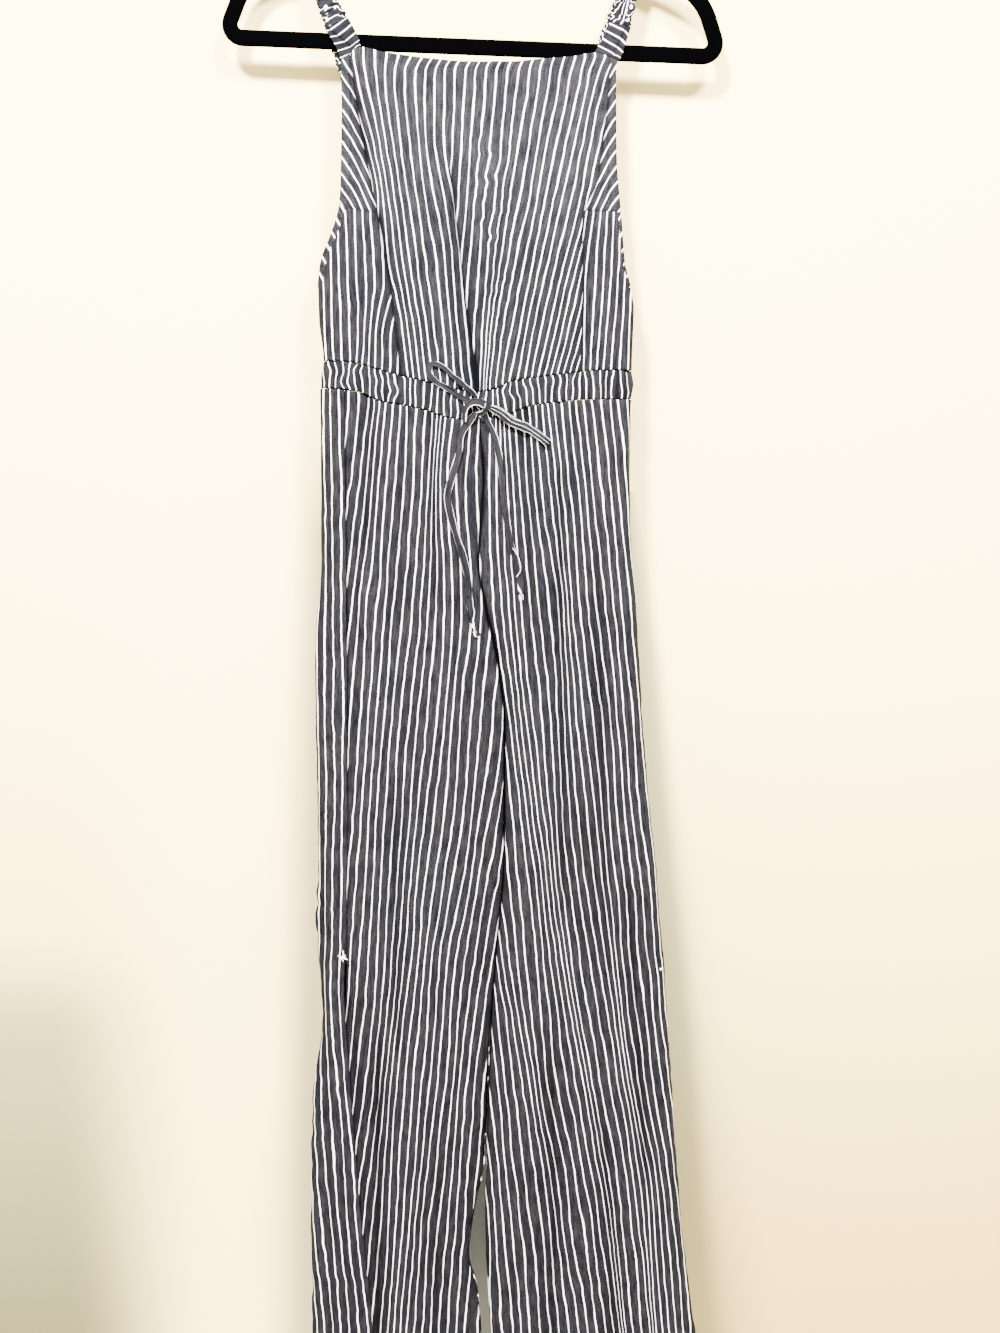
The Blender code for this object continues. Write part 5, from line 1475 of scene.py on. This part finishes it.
def at_knot(centre, route_end):
    """Where a strand meets the knot, on the way from the knot's middle to the strand's first row."""
    way = unit(route_end - centre)
    reach = 1 / np.linalg.norm(way / (np.array(KNOT_SIZE) / 2))
    return centre + way * (reach + KNOT_GAP)


def lie_on_front(route, width):
    """A route's points in space, over the highest cloth under the tie's width."""
    spots = []
    for spot in route:
        x = spot.x + np.linspace(-width / 2, width / 2, 5)
        surface = front_surface_y(x, np.full(5, spot.z)).min()
        spots.append(np.array([spot.x, surface - spot.lift, spot.z]))
    return spots


def cloth_band(strand, path, faces, widths, seed, cotton, white_end=0.0):
    """A narrow strip of folded cloth along a path, crumpled, with white lines along it.

    A white stripe lies on its front for the last `white_end` of its length.
    """
    wide, flat = band_section(TIE_SIDES)
    run = distances(path)[:, None]
    widths = widths[:, None] * (1 + 0.16 * ripple(run, 0 * run, 9, 1, seed))
    place = wide[None] * widths / 2
    along = run + 0 * place
    crumple = ripple(along, place + 30 * (flat[None] > 0), 5, 1.7, seed + 1)
    groove = bell(place - widths * 0.16 * ripple(run, 0 * run, 22, 1, seed + 2), 0.55)
    thick = flat[None] * TIE_THICK / 2 * (1.05 + 0.4 * crumple - 0.75 * groove)
    rings = rings_about(path, faces, place, thick)
    wrap = closed_round(wide[None] + 0 * run)
    along = run + 0 * wrap
    numbers = strand.middle + strand.stripes / 2 * wrap + 0.14 * ripple(along, wrap, 17, 1.4, seed + 3)
    if white_end:
        shown = ease((along - along.max() + white_end) / 9)
        numbers += shown * (0.62 + 0.14 * ripple(along, wrap, 9, 1.2, seed + 5) - 0.3 * wrap)
    # Painted shade in random folded patches and along the strip's groove.
    folded = 1.1 * (ripple(along, wrap * 3, 8, 1.2, seed + 4) - 0.3)
    shade = np.clip(0.32 * closed_round(groove) + folded, 0, 0.85)
    made = tube(
        f"{strand.name}_cloth", rings, cotton, numbers=numbers, run=along / STRAND_RUN, shade=shade,
        narrowing=0.7,
    )
    declare(made)
    return made


def make_knot(centre, cotton):
    """The knot's core with the band that curls over it and the small white end that peeps out."""
    bm = bmesh.new()
    bmesh.ops.create_uvsphere(bm, u_segments=48, v_segments=32, radius=0.5, calc_uvs=False)
    layer = bm.loops.layers.uv.new("stripes")
    for face in bm.faces:
        for loop in face.loops:
            spot = loop.vert.co
            loop[layer].uv = (1.7 * spot.x - 1.9 * spot.z + 0.4 * math.sin(9 * spot.x), spot.x * 0.01)
    depth = bm.verts.layers.float.new("crease")
    narrow = bm.verts.layers.float.new("narrowing")
    for vertex in bm.verts:
        spot = vertex.co.copy()
        # Painted shade in bands across the knot.
        vertex[depth] = 0.35 + 0.35 * math.sin(9 * (spot.x + 0.9 * spot.z))
        vertex[narrow] = 0.4
        crumple = 1 + 0.07 * math.sin(17 * (spot.x - 1.1 * spot.z)) - 0.05 * math.sin(11 * spot.x + 3)
        vertex.co = [(centre[k] + spot[k] * crumple * 0.8 * KNOT_SIZE[k]) * MM for k in range(3)]
    core = finish_object("tie_knot_cloth", bm, cotton)
    declare(core, "tie_knot")
    pieces = [core]
    for number, strand in enumerate(KNOT_STRANDS):
        path = smooth_path([(spot.x, centre[1] - spot.lift, spot.z) for spot in strand.route], strand.rings)
        faces = path - centre
        faces[:, 1] = -9.0
        widths = np.full(strand.rings, strand.width)
        pieces.append(cloth_band(strand, path, faces, widths, 130 + 4 * number, cotton))
    return pieces


def folded_loop_faces(path):
    """The way a folded loop's flat side faces: to the front, outwards round its tip, then to the back."""
    tip = np.argmax(path[:, 0])
    bend = max(2, len(path) // 14)
    faces = path - path[tip] + (2.4, 0, -1.9)
    faces[: tip - bend] = FRONTWARDS
    faces[tip + bend :] = BACKWARDS
    return faces


def make_tie(cotton):
    centre = knot_centre()
    extras = {
        "tie_loop_left": make_knot(centre, cotton),
        "tie_tail_right": [sew_threads("loose_threads", LOOSE_THREADS, LOOSE_THREAD)],
    }
    for number, strand in enumerate(STRANDS):
        name, width = strand.name, strand.width
        looped = name.startswith("tie_loop")
        spots = lie_on_front(strand.route, width)
        spots.insert(0, at_knot(centre, spots[0]))
        if looped:
            spots.append(at_knot(centre, spots[-1]))
        path = smooth_path(spots, strand.rings)
        faces = folded_loop_faces(path) if name == "tie_loop_right" else np.tile(FRONTWARDS, (len(path), 1))
        widths = width * (0.45 + 0.55 * ease((np.linalg.norm(path - centre, axis=1) - 6) / 9))
        made = cloth_band(strand, path, faces, widths, 140 + 6 * number, cotton, 0.0 if looped else FREE_END)
        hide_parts(name)


def filleted(corners, radii, steps):
    """A closed outline in the XZ plane with each corner rounded to its radius."""
    points = []
    for i, corner in enumerate(corners):
        corner = np.array(corner, float)
        before = unit(np.array(corners[i - 1], float) - corner)
        after = unit(np.array(corners[(i + 1) % len(corners)], float) - corner)
        half = math.acos(np.clip(before @ after, -1, 1)) / 2
        middle = corner + unit(before + after) * radii[i] / math.sin(half)
        start = corner + before * radii[i] / math.tan(half) - middle
        end = corner + after * radii[i] / math.tan(half) - middle
        sweep = math.pi - 2 * half
        for t in np.linspace(0, 1, steps + 1):
            spoke = start * math.sin((1 - t) * sweep) + end * math.sin(t * sweep)
            points.append(middle + spoke / math.sin(sweep))
    return np.array(points)


def hanger_rings():
    """Sections of the flat band round the hanger's outline, thicker at its neck."""
    reach = (BAR_Z - ARM_PEAK_Z + HANGER_HALF * math.tan(ARM_SLOPE)) / (
        math.cos(END_SLOPE) * math.tan(ARM_SLOPE) - math.sin(END_SLOPE)
    )
    shoulder = (HANGER_HALF - reach * math.cos(END_SLOPE), BAR_Z + reach * math.sin(END_SLOPE))
    corners = [
        (-HANGER_HALF, BAR_Z), (-shoulder[0], shoulder[1]), (0, ARM_PEAK_Z), shoulder, (HANGER_HALF, BAR_Z)
    ]
    radii = [END_RADIUS, SHOULDER_RADIUS, NECK_RADIUS, SHOULDER_RADIUS, END_RADIUS]
    outline = filleted(corners, radii, CORNER_STEPS)
    following = np.roll(outline, -1, axis=0) - np.roll(outline, 1, axis=0)
    straight, half_sides = (BAND - HANGER_THICK) / 2, HANGER_SIDES // 2
    section = []
    for end, sign in ((0, 1), (1, -1)):
        for turn in np.radians(np.linspace(-90, 90, half_sides) + 180 * end):
            section.append((sign * straight + HANGER_THICK / 2 * math.cos(turn), math.sin(turn)))
    rings = []
    for point, ahead in zip(outline, following):
        normal = unit(np.array([-ahead[1], ahead[0]]))
        at_neck = bell(point[0], 22) * (point[1] > BAR_Z + BAND)
        half_thick = (HANGER_THICK + NECK_THICKER * at_neck) / 2
        spots = [(point + normal * lift, half_thick * side) for lift, side in section]
        turned = [(*rolled(spot[0] + NECK_OFFSET, spot[1]), y) for spot, y in spots]
        rings.append([(x, y, z) for x, z, y in turned])
    return rings


def hook_path():
    """The wire's middle line, from the hanger's neck up and round the hook."""
    radius = HOOK_INNER + HOOK_WIRE / 2
    neck_top = ARM_PEAK_Z + BAND / 2 - NECK_RADIUS * (1 / math.cos(ARM_SLOPE) - 1)
    points = [(NECK_OFFSET, neck_top + 3 * SEAM_GAP), *HOOK_STEM]
    for turn in np.radians(HOOK_TURN):
        points.append((radius * math.cos(turn), radius * math.sin(turn) - HOOK_INNER))
    return smooth_path([(x, 0, z) for x, z in (rolled(*point) for point in points)], HOOK_RINGS)


def make_hanger(flock, wire):
    body = tube("hanger_frame_flocked", hanger_rings(), flock, closed=True)
    declare(body, "hanger_frame")
    from_tip = np.minimum(np.arange(HOOK_RINGS), 3)[::-1] / 3
    radii = HOOK_WIRE / 2 * np.sqrt(1 - (1 - np.clip(from_tip + 0.25, 0, 1)) ** 2)
    hook = round_tube("hanger_hook_wire", hook_path(), FRONTWARDS, radii, HOOK_SIDES, wire)
    declare(hook, "hanger_hook")


# ---------------------------------------------------------------- stage

WALL_Y, WALL_LEAN, WALL_TOP, FLOOR_Z = 8.0, 0.095, 1500.0, -1810.0
ROOM_HALF, ROOM_FRONT = 3000.0, -4000.0
CAMERA_PLACE, CAMERA_TILT, CAMERA_LENS = (0.020, -1.2103, -0.6342), math.radians(90 - 7.05), 35.0
WARM_LIGHT, COOL_LIGHT = (1.0, 0.98, 0.94), (0.86, 0.93, 1.0)

# Shades painted on the wall, in metres. Those beside the garment begin at a line that leans out by `slope`
# below SHADES_TOP, and fade out over a reach that widens downwards. Their strength grows from `begins` to
# `full` below SHADES_TOP.
SHADES_TOP = -0.62
BesideShade = namedtuple("BesideShade", "side start slope reach widening begins full tint")
BESIDE_SHADES = (
    BesideShade(1.0, 0.144, 0.103, 0.012, 0.1, 0.0, 1e-6, (0.42, 0.5, 0.66)),
    BesideShade(-1.0, 0.152, 0.05, 0.032, 0.018, -0.08, 0.04, (0.36, 0.38, 0.48)),
)
CornerShade = namedtuple("CornerShade", "top foot tint")
CORNER_SHADES = (CornerShade(-1.06, -1.2, (0.37, 0.43, 0.52)), CornerShade(-1.1, -1.7, (0.55, 0.62, 0.84)))
# Painted shade that dims the wall low down, and the painted shadow on the wall between the legs.
LOW_SHADE_TINT, BETWEEN_LEGS_SHADOW_TINT = (0.49, 0.42, 0.29), (0.15, 0.22, 0.65)


def beside_garment(tree, x, fallen, shade):
    """How strongly a shade beside the garment lies on the wall, from 0 to 1."""
    outwards = product(tree, x, shade.side)
    edge = math_node(tree, "ADD", product(tree, fallen, shade.slope), shade.start)
    reach = math_node(tree, "ADD", product(tree, fallen, shade.widening), shade.reach)
    share = math_node(tree, "DIVIDE", math_node(tree, "SUBTRACT", outwards, edge), reach)
    begun = ramp(tree, fallen, shade.begins, shade.full)
    apart = math_node(tree, "GREATER_THAN", outwards, 0.1)
    return product(tree, ramp(tree, share, 1.0, 0.0, soft=True), begun, apart)


def wall_shades(tree, colour):
    """The paint, with painted shade that dims it low down, and painted shadows beside the garment, between
    its legs and at the lower left.
    """
    place = add_node(tree, "ShaderNodeTexCoord").outputs["Object"]
    split = add_node(tree, "ShaderNodeSeparateXYZ", {0: place})
    x, height = split.outputs[0], split.outputs[2]
    fallen = math_node(tree, "SUBTRACT", SHADES_TOP, height)
    bright = product(tree, ramp(tree, x, -0.46, -0.28, soft=True), ramp(tree, x, -0.02, -0.16, soft=True))
    dim = math_node(tree, "SUBTRACT", 1.0, product(tree, bright, 0.8))
    dim = product(tree, ramp(tree, height, -0.5, -1.7, soft=True), dim)
    colour = tinted(tree, (*colour, 1), LOW_SHADE_TINT, dim)
    for shade in BESIDE_SHADES:
        colour = tinted(tree, colour, shade.tint, beside_garment(tree, x, fallen, shade))
    # Painted shadow on the wall seen between the legs, low down.
    middle = math_node(tree, "LESS_THAN", math_node(tree, "ABSOLUTE", x), 0.06)
    low = math_node(tree, "GREATER_THAN", fallen, 0.4)
    colour = tinted(tree, colour, BETWEEN_LEGS_SHADOW_TINT, product(tree, middle, low))
    beside = ramp(tree, x, -0.3, -0.47, soft=True)
    for shade in CORNER_SHADES:
        below = ramp(tree, height, shade.top, shade.foot, soft=True)
        colour = tinted(tree, colour, shade.tint, product(tree, below, beside))
    return colour


def stage_material(name, colour, shaded=False):
    """Pale matt paint, seen from its front side only, that lets light through from behind."""
    values = {"Base Color": (*colour, 1), "Roughness": 0.9, "Specular IOR Level": 0.1}
    material, tree, shader = new_material(name, values)
    if shaded:
        tree.links.new(wall_shades(tree, colour), shader.inputs["Base Color"])
    clear = add_node(tree, "ShaderNodeBsdfTransparent")
    behind = add_node(tree, "ShaderNodeNewGeometry").outputs["Backfacing"]
    lit = add_node(tree, "ShaderNodeLightPath").outputs["Is Shadow Ray"]
    either = math_node(tree, "MAXIMUM", behind, lit)
    mix = add_node(tree, "ShaderNodeMixShader", {0: either, 1: shader.outputs[0], 2: clear.outputs[0]})
    tree.links.new(mix.outputs[0], tree.nodes["Material Output"].inputs["Surface"])
    return material


def flat_sheet(name, corners, material):
    bm = bmesh.new()
    bm.faces.new([bm.verts.new([value * MM for value in corner]) for corner in corners])
    obj = finish_object(name, bm, material)
    return obj


def area_light(name, place, aim, size, power, colour=(1, 1, 1)):
    light = bpy.data.lights.new(name, "AREA")
    light.shape = "DISK"
    light.size, light.energy, light.color = size, power, colour
    obj = bpy.data.objects.new(name, light)
    obj.location = place
    direction = np.array(aim) - np.array(place)
    yaw = math.atan2(-direction[0], direction[1])
    pitch = math.atan2(direction[2], math.hypot(direction[0], direction[1]))
    obj.rotation_euler = (math.pi / 2 + pitch, 0, yaw)
    bpy.context.scene.collection.objects.link(obj)


def make_stage(settings):
    foot, head = (WALL_Y - WALL_LEAN * z for z in (FLOOR_Z, WALL_TOP))
    wall = stage_material("wall paint", settings.wall_colour, shaded=True)
    floor = stage_material("floor paint", settings.floor_colour)
    for name, near, far, paint in (
        ("wall", (foot, FLOOR_Z), (head, WALL_TOP), wall),
        ("floor", (ROOM_FRONT, FLOOR_Z), (foot, FLOOR_Z), floor),
    ):
        corners = [(-ROOM_HALF, *near), (ROOM_HALF, *near), (ROOM_HALF, *far), (-ROOM_HALF, *far)]
        flat_sheet(name, corners, paint)
    area_light("key light", (-0.6, -1.9, 0.9), (0, 0, -0.5), 0.34, settings.key_power, WARM_LIGHT)
    area_light("fill light", (0.8, -1.9, 0.9), (0, 0, -0.5), 0.45, settings.fill_power, WARM_LIGHT)
    area_light("back light", (0.6, 1.8, 0.6), (0, 0, -0.7), 1.5, settings.back_power)
    world = bpy.data.worlds.new("soft studio")
    bpy.context.scene.world = world
    world.use_nodes = True
    sky = world.node_tree.nodes["Background"]
    sky.inputs[0].default_value = (*COOL_LIGHT, 1)
    sky.inputs[1].default_value = settings.ambient
    camera = bpy.data.objects.new("camera", bpy.data.cameras.new("camera"))
    camera.data.lens = CAMERA_LENS
    camera.location = CAMERA_PLACE
    camera.rotation_euler = (CAMERA_TILT, 0, 0)
    bpy.context.scene.collection.objects.link(camera)
    bpy.context.scene.camera = camera


# ---------------------------------------------------------------- add-on


class ClothSettings(bpy.types.PropertyGroup):
    pitch: bpy.props.FloatProperty(
        name="Stripe pitch", description="From one white stripe to the next on the flat cloth",
        default=9.2 * MM, min=0.001, unit="LENGTH",
    )
    white_share: bpy.props.FloatProperty(
        name="White share", description="The white stripe's share of the pitch",
        default=0.114, min=0.0, max=1.0, subtype="FACTOR",
    )
    thickness: bpy.props.FloatProperty(
        name="Cloth thickness", description="Thickness of the cloth's shell", default=0.8 * MM, min=0.0,
        unit="LENGTH",
    )
    crinkle: bpy.props.FloatProperty(
        name="Crinkle", description="Depth of the fine lengthwise crinkles", default=0.55 * MM, unit="LENGTH"
    )
    crease_depth: bpy.props.FloatProperty(
        name="Creases", description="Depth of the sharp wandering creases", default=0.9 * MM, unit="LENGTH"
    )
    unevenness: bpy.props.FloatProperty(
        name="Unevenness", description="Depth of the broad soft waves", default=0.9 * MM, unit="LENGTH"
    )
    white_yarn: bpy.props.FloatVectorProperty(
        name="White yarn", description="Colour of the white stripes",
        default=(0.95, 0.945, 0.94), size=3, subtype="COLOR",
    )
    pale_yarn: bpy.props.FloatVectorProperty(
        name="Pale grey yarn", description="Lightest colour in the grey stripes",
        default=(0.0186, 0.0185, 0.0206), size=3, subtype="COLOR",
    )
    # The colour of the painted shade: what the grey is multiplied by in creases, folds and seams.
    crease_tint: bpy.props.FloatVectorProperty(
        name="Crease tint", description="What the grey is multiplied by in the creases",
        default=(0.06, 0.065, 0.14), size=3, subtype="COLOR",
    )
    # The colour of the shade painted where cloth lies behind the cloth.
    double_layer_shade_tint: bpy.props.FloatVectorProperty(
        name="Double layer tint",
        description="What the grey is multiplied by where cloth lies behind the cloth",
        default=(0.66, 0.66, 0.68), size=3, subtype="COLOR",
    )
    dark_yarn: bpy.props.FloatVectorProperty(
        name="Dark grey yarn", description="Darkest colour in the grey stripes",
        default=(0.0024, 0.0024, 0.0032), size=3, subtype="COLOR",
    )


class StageSettings(bpy.types.PropertyGroup):
    wall_colour: bpy.props.FloatVectorProperty(
        name="Wall colour", description="Paint of the wall behind",
        default=(0.80, 0.63, 0.262), size=3, subtype="COLOR",
    )
    floor_colour: bpy.props.FloatVectorProperty(
        name="Floor colour", description="Paint of the pale floor",
        default=(0.8, 0.78, 0.74), size=3, subtype="COLOR",
    )
    key_power: bpy.props.FloatProperty(
        name="Key light", description="Power of the large light at the upper left",
        default=880.0, unit="POWER",
    )
    fill_power: bpy.props.FloatProperty(
        name="Fill light", description="Power of the large light at the upper right",
        default=530.0, unit="POWER",
    )
    back_power: bpy.props.FloatProperty(
        name="Back light", description="Power of the light behind", default=120.0, unit="POWER"
    )
    ambient: bpy.props.FloatProperty(
        name="Ambient", description="Strength of the even light from all round", default=0.5, min=0.0
    )


def cotton_of(context):
    return bpy.data.materials.get("striped cotton") or striped_cotton(context.scene.jumpsuit_cloth)


class JUMPSUIT_OT_stage(bpy.types.Operator):
    """Set up the wall, floor, lights and camera"""

    bl_idname = "jumpsuit.stage"
    bl_label = "Stage, Lights and Camera"

    def execute(self, context):
        make_stage(context.scene.jumpsuit_stage)
        return {"FINISHED"}


class JUMPSUIT_OT_tie(bpy.types.Operator):
    """Tie the drawstring in its bow"""

    bl_idname = "jumpsuit.tie"
    bl_label = "Drawstring"

    def execute(self, context):
        make_tie(cotton_of(context))
        return {"FINISHED"}


class JUMPSUIT_OT_bodice(bpy.types.Operator):
    """Sew the bodice's front and back"""

    bl_idname = "jumpsuit.bodice"
    bl_label = "Bodice"

    def execute(self, context):
        sew_bodice_front(context.scene.jumpsuit_cloth, cotton_of(context))
        sew_bodice_back(context.scene.jumpsuit_cloth, cotton_of(context))
        return {"FINISHED"}


class JUMPSUIT_OT_casing(bpy.types.Operator):
    """Gather the waist casing"""

    bl_idname = "jumpsuit.casing"
    bl_label = "Waist Casing"

    def execute(self, context):
        make_casing(context.scene.jumpsuit_cloth, cotton_of(context))
        return {"FINISHED"}


class JUMPSUIT_OT_legs(bpy.types.Operator):
    """Sew the fronts and backs of both legs"""

    bl_idname = "jumpsuit.legs"
    bl_label = "Legs"

    def execute(self, context):
        make_legs(context.scene.jumpsuit_cloth, cotton_of(context))
        return {"FINISHED"}


class JUMPSUIT_OT_straps(bpy.types.Operator):
    """Ruche the straps over the hanger's arms and sew on their flat ends"""

    bl_idname = "jumpsuit.straps"
    bl_label = "Straps"

    def execute(self, context):
        make_straps(cotton_of(context))
        make_tabs(context.scene.jumpsuit_cloth, cotton_of(context))
        return {"FINISHED"}


class JUMPSUIT_OT_hanger(bpy.types.Operator):
    """Make the flocked hanger and its hook"""

    bl_idname = "jumpsuit.hanger"
    bl_label = "Hanger"

    def execute(self, context):
        make_hanger(flock_material(), wire_material())
        return {"FINISHED"}


class JUMPSUIT_PT_sidebar(bpy.types.Panel):
    bl_label = "Jumpsuit"
    bl_idname = "JUMPSUIT_PT_sidebar"
    bl_space_type = "VIEW_3D"
    bl_region_type = "UI"
    bl_category = "Jumpsuit"

    def draw(self, context):
        for group in (context.scene.jumpsuit_cloth, context.scene.jumpsuit_stage):
            for name in group.__annotations__:
                self.layout.prop(group, name)
        for operator in OPERATORS:
            self.layout.operator(operator.bl_idname)


OPERATORS = (
    JUMPSUIT_OT_stage, JUMPSUIT_OT_tie, JUMPSUIT_OT_bodice, JUMPSUIT_OT_casing, JUMPSUIT_OT_legs,
    JUMPSUIT_OT_straps, JUMPSUIT_OT_hanger,
)
CLASSES = (ClothSettings, StageSettings, *OPERATORS, JUMPSUIT_PT_sidebar)


def register():
    for cls in CLASSES:
        bpy.utils.register_class(cls)
    bpy.types.Scene.jumpsuit_cloth = bpy.props.PointerProperty(type=ClothSettings)
    bpy.types.Scene.jumpsuit_stage = bpy.props.PointerProperty(type=StageSettings)


def unregister():
    del bpy.types.Scene.jumpsuit_stage
    del bpy.types.Scene.jumpsuit_cloth
    for cls in reversed(CLASSES):
        bpy.utils.unregister_class(cls)


def main():
    register()
    bpy.ops.jumpsuit.stage()
    bpy.ops.jumpsuit.tie()
    bpy.ops.jumpsuit.bodice()
    bpy.ops.jumpsuit.casing()
    bpy.ops.jumpsuit.legs()
    bpy.ops.jumpsuit.straps()
    bpy.ops.jumpsuit.hanger()


if __name__ == "__main__":
    main()
